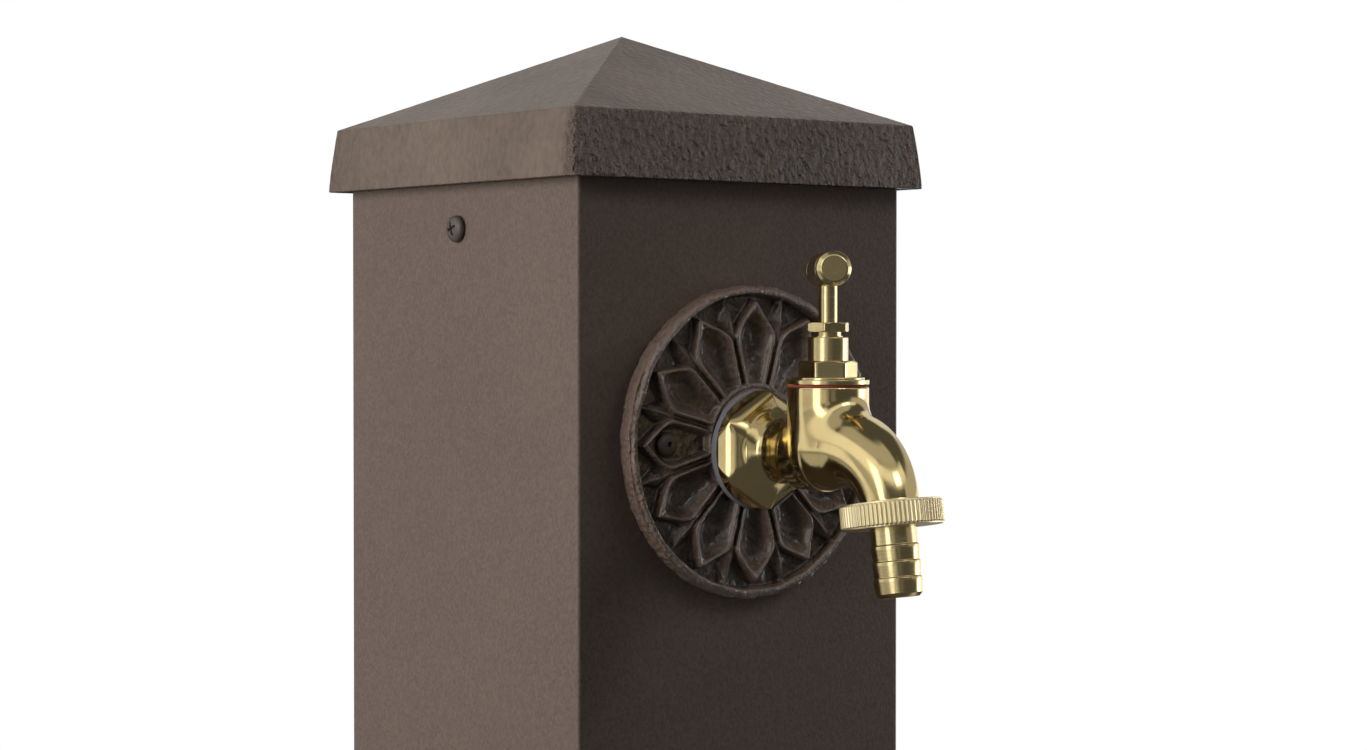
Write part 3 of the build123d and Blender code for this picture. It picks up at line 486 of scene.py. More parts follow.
wall_y = box_mm("column_post")[0][1]
washer_low, washer_high = box_mm("flange_washer")
gasket_low, gasket_high = box_mm("bonnet_gasket")
axis_z = (washer_low[2] + washer_high[2]) / 2
flange_back = wall_y - washer_low[1]
barrel_reach = wall_y - (gasket_low[1] + gasket_high[1]) / 2
barrel_top, bonnet_base = heights("bonnet_gasket")
X, Y, Z = np.eye(3)
WALL_AXIS = (np.array([0, wall_y, axis_z]), X, Z, -Y)
BARREL_AXIS = (np.array([0, wall_y - barrel_reach, axis_z]), X, Y, Z)
union_joint = next(j for j in frame["joints"] if j["name"] == "union_nut_turn")
mouth_dir = np.array(union_joint["axis"], float)
mouth_dir /= np.linalg.norm(mouth_dir)
mouth_point = np.array(union_joint["pos_m"]) / MM
print("tap axis", round(axis_z, 2), "reach", round(barrel_reach, 2), "top", round(barrel_top, 2))

# %% [markdown]
# ## Tap body
# The real body is cast brass, ground and polished until its edges are soft: a hexagonal
# flange runs into a waisted neck, the neck into a barrel with a round bowl, and the bowl
# into a bent spout. Separate tubes would meet in hard creases. Here each form is a signed
# distance, which is negative inside, and a smooth minimum melts neighbours together.

# %% Signed distances
# _R is a radius, _OUT stands out beyond the flats, _SOFT and _BLEND melt two forms, and PAST
# is how far a bore runs on beyond the metal, so that no skin is left over its mouth
FLANGE_FLATS, FLANGE_BASE_OUT, FLANGE_OUTLINE_OUT = 32.0, 2.1, 0.35
FLANGE_DRAFT, FLANGE_FRONT = 4.3, 3.3
FLANGE_CONE_BACK, FLANGE_CONE_FRONT = 0.9, 0.4
DRAFT_SOFT, FRONT_SOFT, TURNED_SOFT, FLANGE_SOFT = 0.8, 3.2, 0.9, (1.2, 0.5, 0.2, 0.6)
NECK_START_R, NECK_FLARE, NECK_IN = 11.1, 2.5, 3
WAIST_AT, WAIST_R = 12.6, 9.2
BARREL_R = 12.5
BOWL_LIFT, SPOUT_DROP = 2.8, 0.9
SPOUT_LIFT, SPOUT_R = BOWL_LIFT - SPOUT_DROP, BARREL_R - SPOUT_DROP
SPOUT_STRAIGHT, SPOUT_BEND_R, SPOUT_TURN = 8.8, 20.0, 81.5
SPOUT_END_R, SPOUT_END = 8.7, 2.1
SPOUT_BORE_R, INLET_BORE_R, CHAMBER_R, SEAT_BORE_R, PASSAGE_R = 6.2, 4.6, 9.5, 4.5, 4.2
SHANK_R, SHANK_LENGTH = 9.9, 28.6
COLLAR_R, COLLAR_HEIGHT = 12.6, 3.6
SEAT_TOP, PAST = 7.4, 2.0
PASSAGE_FROM, PASSAGE_TO = (7.3, 11.2), (18.2, -0.4)
BORE_EASE, SLIDE_LEAST = 0.3, 0.05
FLANGE_BLEND, NECK_BLEND, SPOUT_BLEND, COLLAR_BLEND, BORE_BLEND = 2.2, 2.4, 5.0, 1.0, 0.4


def blend_min(a, b, k):
    """Smooth minimum: min(a, b) less k/4 * h^2, where h falls from 1 to 0 as they part by k."""
    h = np.maximum(k - np.abs(a - b), 0) / k
    return np.minimum(a, b) - h * h * k / 4


def blend_max(a, b, k):
    """Smooth maximum, the smooth minimum turned over."""
    return -blend_min(-a, -b, k)


def slope_distance(a, r, start, end):
    """Distance outside the line through two (reach, radius) points, for a cone."""
    run = np.subtract(end, start)
    run = run / np.hypot(*run)
    return (r - start[1]) * run[0] - (a - start[0]) * run[1]


def tube_distance(along, height, side, radius, low, high, soft=0.4):
    """Straight round bar along one axis, cut flat at both ends."""
    return blend_max(np.hypot(height, side) - radius, np.maximum(low - along, along - high), soft)


def corner_of(flats):
    """Radius of a hexagon's corners: half its flats over the cosine of 30 degrees."""
    return flats / 2 / math.cos(math.pi / 6)


def flange_form(a, b, c):
    """Hexagon whose flats lean in, first slowly and then steeply, inside a turned outline."""
    half, corner = FLANGE_FLATS / 2, corner_of(FLANGE_FLATS)
    edge = flange_back + FLANGE_DRAFT
    neck = edge + FLANGE_FRONT
    cone_end = neck + FLANGE_CONE_FRONT
    r, flat, slant = np.hypot(b, c), np.abs(c), 0.5 * np.abs(c) + math.sqrt(0.75) * np.abs(b)
    foot, corner_foot = (flange_back, half + FLANGE_BASE_OUT), corner + FLANGE_OUTLINE_OUT
    form = slope_distance(a, blend_max(flat, slant, DRAFT_SOFT), foot, (edge, half))
    across = blend_max(flat, slant, FRONT_SOFT)
    front = slope_distance(a, across, (edge, half), (neck, NECK_START_R))
    outline = slope_distance(a, r, (flange_back, corner_foot), (edge, corner))
    cone_start = (edge + FLANGE_CONE_BACK, corner)
    cone = slope_distance(a, r, cone_start, (cone_end, NECK_START_R))
    others = front, blend_max(outline, cone, TURNED_SOFT), flange_back - a, a - cone_end
    for other, soft in zip(others, FLANGE_SOFT):
        form = blend_max(form, other, soft)
    return form


def neck_form(a, b, c):
    """Waist: the radius is least at the waist and grows as a square both ways."""
    start, waist = flange_back + FLANGE_DRAFT + FLANGE_FRONT, flange_back + WAIST_AT
    left = (a - waist) / (start - waist)
    right = (a - waist) / (barrel_reach - BARREL_R + NECK_FLARE - waist)
    flare = np.where(left > 0, (NECK_START_R - WAIST_R) * left**2, NECK_FLARE * right**2)
    radius = np.minimum(WAIST_R + flare, SPOUT_R - 0.2)
    ends = np.maximum(start - NECK_IN - a, a - barrel_reach)
    return blend_max((np.hypot(b, c) - radius) * 0.9, ends, 0.4)


def barrel_form(a, b, c):
    """Upright cylinder with a ball for its floor, cut flat at the top."""
    down = np.minimum(b - BOWL_LIFT, 0)
    wall = np.sqrt((a - barrel_reach) ** 2 + c**2 + down**2) - BARREL_R
    return blend_max(wall, b - barrel_top, 0.5)


def spout_place(a, b):
    """Turn along the bend in degrees, and the distance from the bend's middle line."""
    da, db = a - barrel_reach - SPOUT_STRAIGHT, b - SPOUT_LIFT + SPOUT_BEND_R
    return np.degrees(np.arctan2(da, db)), np.hypot(da, db) - SPOUT_BEND_R


def spout_form(a, b, c):
    """Level start, then a bend whose radius shrinks slowly, then a short straight end."""
    turn, off = spout_place(a, b)
    share = np.clip(turn / SPOUT_TURN, 0, 1)
    wide = (1 - share + (1 + np.cos(np.pi * share)) / 2) / 2
    radius = SPOUT_END_R + (SPOUT_R - SPOUT_END_R) * wide
    bend = np.maximum(np.hypot(off, c) - radius, np.radians(turn - SPOUT_TURN) * SPOUT_BEND_R)
    level = np.maximum(np.hypot(b - SPOUT_LIFT, c) - SPOUT_R, barrel_reach - a)
    return np.where(a < barrel_reach + SPOUT_STRAIGHT, level, bend)


def mouth_station(a, b):
    """Station along the mouth's axis from the bend's end, and height across it."""
    end = math.radians(SPOUT_TURN)
    at = (
        barrel_reach + SPOUT_STRAIGHT + SPOUT_BEND_R * math.sin(end),
        SPOUT_LIFT - SPOUT_BEND_R + SPOUT_BEND_R * math.cos(end),
    )
    along = (a - at[0]) * math.cos(end) - (b - at[1]) * math.sin(end)
    across = (a - at[0]) * math.sin(end) + (b - at[1]) * math.cos(end)
    return along, across


def body_distance(p):
    """Signed distance of the whole body, for points (reach, height, side) in millimetres."""
    a, b, c = p[..., 0], p[..., 1], p[..., 2]
    form = blend_min(flange_form(a, b, c), neck_form(a, b, c), FLANGE_BLEND)
    bowl = blend_min(barrel_form(a, b, c), spout_form(a, b, c), SPOUT_BLEND)
    form = blend_min(form, bowl, NECK_BLEND)
    along, across = mouth_station(a, b)
    collar = tube_distance(along, across, c, COLLAR_R, SPOUT_END - COLLAR_HEIGHT, SPOUT_END)
    form = blend_min(form, collar, COLLAR_BLEND)
    shank_end = flange_back - SHANK_LENGTH
    form = np.minimum(form, tube_distance(a, b, c, SHANK_R, shank_end, flange_back + PAST))
    turn, off = spout_place(a, b)
    past_bend = np.maximum(-turn, turn - SPOUT_TURN) * BORE_EASE
    bend = np.maximum(np.hypot(off, c) - SPOUT_BORE_R, past_bend)
    start, end = np.array([[barrel_reach, 0]]) + [PASSAGE_FROM, PASSAGE_TO]
    length = np.hypot(*(end - start))
    way = (end - start) / length
    down = (a - start[0]) * way[0] + (b - start[1]) * way[1]
    aside = (a - start[0]) * way[1] - (b - start[1]) * way[0]
    middle = a - barrel_reach
    hollow = np.minimum.reduce([
        bend,
        tube_distance(along, across, c, SPOUT_BORE_R, -0.5, SPOUT_END + PAST),
        tube_distance(a, b, c, INLET_BORE_R, shank_end - PAST, barrel_reach),
        tube_distance(b, middle, c, CHAMBER_R, SEAT_TOP, barrel_top + PAST),
        tube_distance(b, middle, c, SEAT_BORE_R, 0, SEAT_TOP + PAST / 2),
        tube_distance(down, aside, c, PASSAGE_R, 0, length),
    ])
    return blend_max(form, -hollow, BORE_BLEND)


# %% [markdown]
# A surface net turns the distance into a mesh. Space is cut into small cells. Each cell
# whose corners lie on both sides of the surface gets one point, and each grid edge that
# crosses the surface gets one face between its four cells. The points are then slid onto
# the surface along the slope of the distance, and evened out between slides.

# %% Surface net
CELL = 0.43
BODY_LOW, BODY_HIGH = np.array([-21.5, -20.2, -20.2]), np.array([83.0, 22.0, 20.2])


def slope(distance, p, step=0.02):
    """Gradient of a distance by small steps both ways along each axis."""
    shift = np.eye(3) * step
    return np.stack([distance(p + s) - distance(p - s) for s in shift], axis=-1) / (2 * step)


def net_of(distance, low, high, cell):
    """Points and four-sided faces of the surface net of a distance, inside a box.

    The four cells round a grid edge are taken in one turn, which faces along the edge for
    the first and last axes and against it for the middle one. A face is turned round where
    that isn't the way from the inside to the outside.
    """
    counts = np.ceil((high - low) / cell).astype(int)
    axes = [low[i] + cell * np.arange(counts[i] + 1) for i in range(3)]
    corner = np.stack(np.meshgrid(*axes, indexing="ij"), axis=-1)
    inside = distance(corner) < 0
    eight = [
        inside[i : i + counts[0], j : j + counts[1], k : k + counts[2]]
        for i in (0, 1) for j in (0, 1) for k in (0, 1)
    ]
    mixed = np.logical_or.reduce(eight) & ~np.logical_and.reduce(eight)
    number = np.full(mixed.shape, -1)
    number[mixed] = np.arange(mixed.sum())
    points = low + cell * (np.argwhere(mixed) + 0.5)
    faces = []
    for axis in range(3):
        here = np.moveaxis(inside, axis, 0)
        cells = np.moveaxis(number, axis, 0)
        crossing = here[:-1, 1:-1, 1:-1] != here[1:, 1:-1, 1:-1]
        corners = (np.s_[:-1, :-1], np.s_[1:, :-1], np.s_[1:, 1:], np.s_[:-1, 1:])
        ring = np.stack([cells[:, up, across] for up, across in corners], -1)[crossing]
        outward = here[:-1, 1:-1, 1:-1][crossing] == (axis != 1)
        faces.append(np.where(outward[:, None], ring, ring[:, ::-1]))
    return points, np.concatenate(faces)


def even_out(points, faces):
    """Each point moved halfway to the mean of its neighbours along the faces' edges."""
    ends = np.concatenate([faces, np.roll(faces, -1, axis=1)], axis=0)
    others = np.concatenate([np.roll(faces, -1, axis=1), faces], axis=0)
    total = np.zeros_like(points)
    count = np.bincount(ends.ravel(), minlength=len(points))
    for k in range(3):
        total[:, k] = np.bincount(ends.ravel(), points[others.ravel(), k], minlength=len(points))
    return points + 0.5 * (total / count[:, None] - points)


def slide_on(distance, points, times=3):
    """Newton's step, taken a few times: back along the slope by distance over slope squared."""
    for _ in range(times):
        grad = slope(distance, points)
        size = np.maximum((grad**2).sum(1, keepdims=True), SLIDE_LEAST)
        points = points - grad / size * distance(points)[:, None]
    return points


def make_tap_body():
    """Net of the body's distance, evened and slid on, with the slope as its normals."""
    points, faces = net_of(body_distance, BODY_LOW, BODY_HIGH, CELL)
    points = slide_on(body_distance, points)
    for _ in range(3):
        points = slide_on(body_distance, even_out(points, faces), 2)
    normal = slope(body_distance, points)
    normal /= np.linalg.norm(normal, axis=1, keepdims=True)

    def to_part(v):
        """(reach, height, side) turned into (x, y, z)."""
        return np.stack([-v[:, 2], -v[:, 0], v[:, 1]], axis=1)

    place = to_part(points) + np.array([0, wall_y, axis_z])
    mesh = bpy.data.meshes.new("polished_tap_body")
    mesh.from_pydata((place * MM).tolist(), [], faces.tolist())
    mesh.shade_smooth()
    mesh.validate()
    mesh.normals_split_custom_set_from_vertices(to_part(normal).tolist())
    off = np.abs(body_distance(points)).max()
    print("tap body points", len(points), "faces", len(faces), "left off", off)
    dress(add_object("polished_tap_body", mesh), "column", "tap_body", "polished_brass")


make_tap_body()

# %% [markdown]
# ## Turned brass
# The bonnet, the nuts, the spindle, the handle and the hose tail come off a lathe, so each
# is a profile carried round its axis. Real edges are never sharp: every corner of a
# profile gets a small round, which is what catches the light.

# %% Bonnet, gasket and washer
# a hexagon's TURN is in degrees, and LIFT_THREAD is the one that raises the spindle
EDGE, HEX_COLUMNS = 0.25, 240
BONNET_FLATS, BONNET_TURN = 15.8, 54.0
BONNET_FLANGE, BONNET_STEP, BONNET_HEX_LOW, BONNET_HEX_HIGH = 1.5, 1.4, 2.2, 7.2
BONNET_NECK_R, PACKING_R, PACKING_DEEP = 6.2, 4.05, 5.2
LIFT_THREAD_R, LIFT_THREAD_LONG = 4.55, 19.5
GLAND_FLATS, GLAND_TURN, GLAND_HEX, GLAND_SLEEVE_R = 12.0, 11.0, 2.8, 4.0
SPINDLE_HOLE_R, THREAD_GAP = 2.9, 0.05


def hexagon(flats, turn, soft=0.6):
    """Wave for a hexagon: the radius at an angle is half the flats over the cosine of the
    angle to the nearest flat, never past the turned radius of the profile itself."""
    def wave(radius, station, angle):
        near = fold(angle - math.radians(turn), math.pi / 3)
        return blend_min(radius, flats / 2 / np.cos(near), soft)

    return wave


def fold(angle, sector):
    """Angle from the middle of the nearest of the equal sectors round a circle."""
    return (angle + sector / 2) % sector - sector / 2


def flat_ring(wear, name, axis, inner, low, high, edge):
    """Flat ring with softened edges, as wide as the node it stands for."""
    outer = half_width(wear[1])
    lathe(wear, name, axis, [(inner, low), (outer, low), (outer, high), (inner, high)], edge)


def make_bonnet():
    """Bonnet: threaded skirt, stepped flange, hexagon and neck, bored through."""
    skirt, top = heights("bonnet")
    flange_r, flange_top = half_width("bonnet"), bonnet_base + BONNET_FLANGE
    step_r, skirt_r, neck_r = flange_r - BONNET_STEP, CHAMBER_R - THREAD_GAP, BONNET_NECK_R
    hex_low, hex_high = bonnet_base + BONNET_HEX_LOW, bonnet_base + BONNET_HEX_HIGH
    lower = [(LIFT_THREAD_R, skirt), (skirt_r, skirt), (skirt_r, bonnet_base)]
    flange = [
        (skirt_r, bonnet_base), (flange_r, bonnet_base), (flange_r, flange_top),
        (step_r, flange_top), (step_r, hex_low), (neck_r, hex_low),
    ]
    seat, thread_top = top - PACKING_DEEP, skirt + LIFT_THREAD_LONG
    neck = [
        (neck_r, hex_high - 0.2), (neck_r, top), (PACKING_R, top), (PACKING_R, seat),
        (SPINDLE_HOLE_R, seat),
    ]
    inside = [(SPINDLE_HOLE_R, thread_top), (LIFT_THREAD_R, thread_top), (LIFT_THREAD_R, skirt)]
    profile = np.vstack([
        rounded(lower, EDGE)[:-1], rounded(flange, [EDGE, EDGE, 0.12, EDGE]),
        rounded(neck, [0.35, 0.2, 0.1]), inside,
    ])
    corner, under, core = corner_of(BONNET_FLATS), hex_low - 0.05, neck_r - 0.4
    nut = [
        (core, under), (corner, under), (corner, hex_high - 0.55), (corner - 0.95, hex_high),
        (core, hex_high),
    ]
    wave = hexagon(BONNET_FLATS, BONNET_TURN)
    nut = rounded(nut, [0.15, 0.3, 0.3])
    piece = joined("turned_bonnet", [
        turned("bonnet_core", profile, BARREL_AXIS),
        turned("bonnet_hexagon", nut, BARREL_AXIS, HEX_COLUMNS, ring=True, wave=wave),
    ])
    dress(piece, "column", "bonnet")


def make_gland_nut():
    """Small hexagon nut on the neck, with its threaded sleeve inside."""
    bottom, top = heights("gland_nut")
    low, corner = top - GLAND_HEX, corner_of(GLAND_FLATS)
    lathe(("column", "gland_nut"), "hexagon_gland_nut", BARREL_AXIS, [
        (SPINDLE_HOLE_R, bottom), (GLAND_SLEEVE_R, bottom), (GLAND_SLEEVE_R, low),
        (corner - 0.5, low), (corner, low + 0.3), (corner, top - 0.3), (corner - 0.6, top),
        (SPINDLE_HOLE_R, top),
    ], 0.18, HEX_COLUMNS, wave=hexagon(GLAND_FLATS, GLAND_TURN, 0.35))


wear = "column", "flange_washer", "pale_washer"
washer_back = wall_y - washer_high[1]
flat_ring(wear, "pale_washer", WALL_AXIS, SHANK_R + 0.2, washer_back, flange_back, 0.3)
wear = "column", "bonnet_gasket", "red_fibre"
flat_ring(wear, "red_gasket", BARREL_AXIS, CHAMBER_R, barrel_top, bonnet_base, 0.15)
make_bonnet()
make_gland_nut()

# %% Spindle and handle
HANDLE_TURN = 35.1
HANDLE_R, HANDLE_HALF, HANDLE_FACE_R, HANDLE_CHAMFER = 5.3, 18.5, 4.0, 1.3
GROOVE_AT, GROOVE, GROOVE_DEEP = 4.6, 0.9, 0.6
SPINDLE_R, SPINDLE_THREAD_R, SPINDLE_THREAD_LONG = 2.85, 4.5, 12.3
SOCKET_R, SOCKET_DEEP = 2.0, 6.1


def make_spindle():
    """Slim stem on a wide threaded foot, which has a socket for the valve's stem."""
    bottom, top = heights("spindle")
    shoulder, socket = bottom + SPINDLE_THREAD_LONG, bottom + SOCKET_DEEP
    lathe(("spindle", "spindle"), "turned_spindle", BARREL_AXIS, [
        (0, socket), (SOCKET_R, socket), (SOCKET_R, bottom), (SPINDLE_THREAD_R, bottom),
        (SPINDLE_THREAD_R, shoulder), (SPINDLE_R, shoulder), (SPINDLE_R, top), (0, top),
    ], 0.15, 80, ring=False)


def make_handle():
    """Cross bar: a plain bar with a wide chamfer at each end and a groove near it."""
    turn = math.radians(HANDLE_TURN)
    along = np.array([-math.sin(turn), -math.cos(turn), 0])
    low, high = box_mm("handle_bar")
    outer, deep_r = HANDLE_HALF - GROOVE_AT, HANDLE_R - GROOVE_DEEP
    inner = outer - GROOVE
    half = [
        (HANDLE_R, 0), (HANDLE_R, inner), (deep_r, inner), (deep_r, outer), (HANDLE_R, outer),
        (HANDLE_R, HANDLE_HALF - HANDLE_CHAMFER), (HANDLE_FACE_R, HANDLE_HALF),
        (0, HANDLE_HALF - 0.15),
    ]
    half = rounded(half, [0.2, 0.15, 0.15, 0.2, 0.3, 0.35])
    whole = np.vstack([half[::-1] * [1, -1], half[1:]])
    axis = ((low + high) / 2, np.cross(along, Z), Z, along)
    dress(turned("turned_handle", whole, axis), "spindle", "handle_bar")


make_spindle()
make_handle()

# %% [markdown]
# ## Hose union
# The nut is knurled with straight ridges. A knurl is a small saw-tooth on the radius: it
# falls from the ridge to the groove and rises again seventy times round the nut. The
# hose tail is a plain shank with three low barbs, each a slow rise and a short step.

# %% Hose union
# stations run along the mouth's axis, and the joint's own point lies at JOINT_STATION
NUT_R, NUT_LAND, NUT_LAND_DEEP, NUT_FLOOR, KNURLS, KNURL_DEPTH = 15.45, 0.45, 0.4, 1.4, 70, 0.45
NUT_TOP, NUT_BOTTOM = -1.8, 5.8
NUT_ROUNDS = [0.3, 0.3, 0.15, 0.15, 0.15, 0.15, 0.3, 0.3, 0.1, 0.1]
TAIL_R, TAIL_BORE_R, TAIL_LENGTH = 6.95, 4.9, 20.7
TAIL_COLLAR_R, TAIL_COLLAR_TOP, TAIL_COLLAR_END = 12.3, 3.1, 4.4
BARBS, BARB_R, BARB_FIRST, BARB_STEP, BARB_FLAT = 3, 7.3, 5.4, 4.8, 0.9
JOINT_STATION = 2.0
MOUTH_AXIS = (mouth_point - mouth_dir * JOINT_STATION, X, np.cross(mouth_dir, X), mouth_dir)


def knurled(radius, station, angle):
    """Radius less a groove: half a cosine wave, sharpened, between the nut's two lands."""
    inside = np.minimum(station - NUT_TOP - NUT_LAND, NUT_BOTTOM - NUT_LAND - station)
    land, outer = np.clip(inside / 0.25, 0, 1), np.clip((radius - NUT_R + 1.0) / 0.6, 0, 1)
    groove = (0.5 - 0.5 * np.cos(KNURLS * angle)) ** 2.2
    return radius - KNURL_DEPTH * groove * land * outer


def make_union_nut():
    """Knurled nut: two plain lands, the knurl between them and a floor with a hole."""
    top, bottom = NUT_TOP, NUT_BOTTOM
    land_r, bore_r, hole_r = NUT_R - NUT_LAND_DEEP, COLLAR_R + THREAD_GAP, TAIL_R + 0.3
    # the mask on the knurl makes it duller and paints a highlight into its colour
    lathe(("union_nut", "union_nut"), "knurled_nut", MOUTH_AXIS, [
        (bore_r, top), (land_r, top), (land_r, top + NUT_LAND), (NUT_R, top + 0.8),
        (NUT_R, bottom - 0.8), (land_r, bottom - NUT_LAND), (land_r, bottom), (hole_r, bottom),
        (hole_r, bottom - NUT_FLOOR), (bore_r, bottom - NUT_FLOOR),
    ], NUT_ROUNDS, KNURLS * 8, wave=knurled, attributes={"satin_and_highlight": 1.0})


def make_hose_tail():
    """Hose tail: collar, shank, three low barbs and an open bore."""
    end = NUT_BOTTOM + TAIL_LENGTH
    outside = [
        (TAIL_BORE_R, TAIL_COLLAR_TOP), (TAIL_COLLAR_R, TAIL_COLLAR_TOP),
        (TAIL_COLLAR_R, TAIL_COLLAR_END), (TAIL_R, TAIL_COLLAR_END),
    ]
    for index in range(BARBS):
        crest = NUT_BOTTOM + BARB_FIRST + BARB_STEP * index
        outside += [(TAIL_R, crest - 0.3), (BARB_R, crest), (BARB_R, crest + BARB_FLAT)]
    outside += [(TAIL_R, end - 1.1), (TAIL_R - 1.1, end), (TAIL_BORE_R, end)]
    lathe(("hose_tail", "hose_tail"), "barbed_hose_tail", MOUTH_AXIS, outside, 0.14, 120)


make_union_nut()
make_hose_tail()

# %% [markdown]
# ## Rosette
# The rosette is sand cast: soft ridges, rough skin, nothing quite true. It is a height over
# a disc. Twelve petals stand in a ring. For each point the nearest petal's middle line is
# found by folding the angle, and the distance inside that petal's outline sets the height:
# a steep wall, a round crest and a hollow like a spoon. Between the petals' ends the tips
# of a second row show as small roofs.

# %% Rosette
ROSETTE_R, ROSETTE_RIM, ROSETTE_THICK, ROSETTE_GROUND = 49.4, 3.3, 6.0, 2.0
HUB_R, HUB_HEIGHT, HUB_RING_HEIGHT, HUB_HOLE_R = 19.0, 6.3, 5.5, 11.5
PETALS, PETAL_HEIGHT, CREST = 12, 5.6, 1.45
PETAL_ROOT_R, PETAL_SHOULDER_R, PETAL_TIP_R = 16.7, 34.0, 45.2
PETAL_ROOT_HALF, PETAL_SHOULDER_HALF = 4.15, 8.8
WALL_SLOPE, WALL_LIFT, TILT = 4.2, 5.1, 0.96
LEAF_SHOULDER_R, LEAF_TIP_R, LEAF_HALF, LEAF_HEIGHT, VEIN_HEIGHT = 39.6, 45.9, 2.9, 4.9, 4.7
SECTOR = 2 * math.pi / PETALS
ROSETTE_COLUMNS, ROSETTE_MEAN_R = 760, 50
SPOON_DEEP, SPOON_DEEPER, SPOON_CURVE, CREST_WIDER = 2.0, 2.0, 2.4, 0.4
DISH_FLOOR, DISH_WIDE = 3.1, 1.6
LEAF_FROM, LEAF_SLOPE, LEAF_DROP, VEIN_SLOPE = 33, 0.85, 0.16, 7.0
RIM_UNDER, RIM_FALL, HUB_FALL = 0.25, 1.1, 0.5
# noise on a casting: its strength, its scale in millimetres, its seed and its octaves
WAVER, LEAN, LUMPS = (0.30, 9.0, 3.1, 2), (0.005, 7.0, 8.2, 2), (0.17, 3.6, 5.9, 2)
PITS, PITS_FACE, PITS_RIM = (1.0, 1.1, 1.7, 3), 0.06, 0.05
RAGGED_RIM, RAGGED_WALL, RIM_IN = (0.32, 5.0, 2.2, 3), (0.26, 1.3, 4.4, 2), 0.38
HASH_PRIMES, HASH_MIX, HASH_RANGE = np.array([73856093, 19349663, 83492791]), 1274126177, 65536
rosette_low, rosette_high = box_mm("rosette")
rosette_z = (rosette_low[2] + rosette_high[2]) / 2


def noise(p, strength, scale, seed, octaves):
    """Smooth value noise on 2-D or 3-D points: hashed lattice values from -1 to 1, blended
    with a smoothstep, at a few scales, each half the size and half the strength."""
    total, size, weight = np.zeros(p.shape[:-1]), scale, 1.0
    for octave in range(octaves):
        q = p / size + 17.3 * octave + seed
        base = np.floor(q).astype(np.int64)
        f = q - base
        f = f * f * (3 - 2 * f)
        value = np.zeros(p.shape[:-1])
        for corner in np.ndindex(*(2,) * p.shape[-1]):
            at = base + np.array(corner)
            mixed = (at * HASH_PRIMES[: p.shape[-1]]).sum(-1)
            mixed = (mixed ^ (mixed >> 13)) * HASH_MIX & 0x7FFFFFFF
            part = np.prod(np.where(np.array(corner) == 1, f, 1 - f), axis=-1)
            value += part * (mixed % HASH_RANGE / ((HASH_RANGE - 1) / 2) - 1)
        total += weight * value
        size, weight = size / 2, weight / 2
    return strength * total


def step_up(x, low, high):
    """Smooth step from 0 to 1 between two values."""
    t = np.clip((x - low) / (high - low), 0, 1)
    return t * t * (3 - 2 * t)


def petal_side(u):
    """Half width of a petal, from its root to its shoulder."""
    t = np.clip((u - PETAL_ROOT_R) / (PETAL_SHOULDER_R - PETAL_ROOT_R), 0, 1)
    return PETAL_ROOT_HALF + (PETAL_SHOULDER_HALF - PETAL_ROOT_HALF) * t


def tip_distance(u, off, half, shoulder, tip):
    """Distance inside the straight line from a shoulder, at its half width, to the tip."""
    return (half * (tip - u) - off * (tip - shoulder)) / math.hypot(half, tip - shoulder)


def wall_over(edge):
    """Height of the steep wall at a distance inside an outline."""
    return ROSETTE_GROUND + (edge + 0.12) * WALL_SLOPE


def petal_edge(u, v, soft, flat):
    """Distance inside a petal's outline, from the place u along it and v across it.

    Past the shoulder the half width falls in a straight line to the tip. The two limits
    melt together over the softness, and the middle line is flattened by a square root.
    """
    off = np.sqrt(v**2 + flat**2) - 0.5 * flat
    to_tip = tip_distance(u, off, PETAL_SHOULDER_HALF, PETAL_SHOULDER_R, PETAL_TIP_R)
    return blend_min((petal_side(u) - np.abs(v)) * TILT, to_tip, soft)


def petal_height(r, angle):
    """Wall, crest and spoon: the smooth minimum of a steep wall and the petal's top.

    The top is a round crest, and behind it the spoon falls along a curve to the petal's
    middle line. The two petals that are pinned at the sides are flat dishes.
    """
    folded = fold(angle, SECTOR)
    u, v = r * np.cos(folded), r * np.sin(folded)
    pinned = np.abs(np.sin(angle)) < math.sin(SECTOR / 2)
    spoon = SPOON_DEEP + SPOON_DEEPER * step_up(u, 19, 33)
    deep = np.where(pinned, PETAL_HEIGHT - DISH_FLOOR, spoon)
    start = CREST + CREST_WIDER * step_up(u, 36, 42)
    wide = np.where(pinned, DISH_WIDE, petal_side(u) * TILT - start)
    share = np.clip((petal_edge(u, v, 4.0, 1.8) - start) / wide, 0, 1)
    edge = petal_edge(u, v, 2.2, 0.2)
    crest = 0.5 * np.where(edge < 2.0, (edge - 1.0) ** 2, 1.0)
    top = PETAL_HEIGHT - crest - deep * (1 - (1 - share) ** SPOON_CURVE)
    return blend_min(wall_over(edge), top, 0.8)


def leaf_height(r, angle):
    """Leaf behind, between two petals: a thin stem, and a kite with a ridge down its middle."""
    between = angle % SECTOR - SECTOR / 2
    u, v = r * np.cos(between), np.abs(r * np.sin(between))
    to_tip = tip_distance(u, v, LEAF_HALF, LEAF_SHOULDER_R, LEAF_TIP_R)
    edge = blend_min(LEAF_HALF - v, to_tip, 0.4)
    ridge = LEAF_HEIGHT - LEAF_SLOPE * v - LEAF_DROP * np.maximum(u - LEAF_SHOULDER_R, 0)
    kite = np.where(u > LEAF_FROM, blend_min(wall_over(edge), ridge, 0.35), 0)
    return np.maximum(VEIN_HEIGHT - VEIN_SLOPE * v**2, kite)


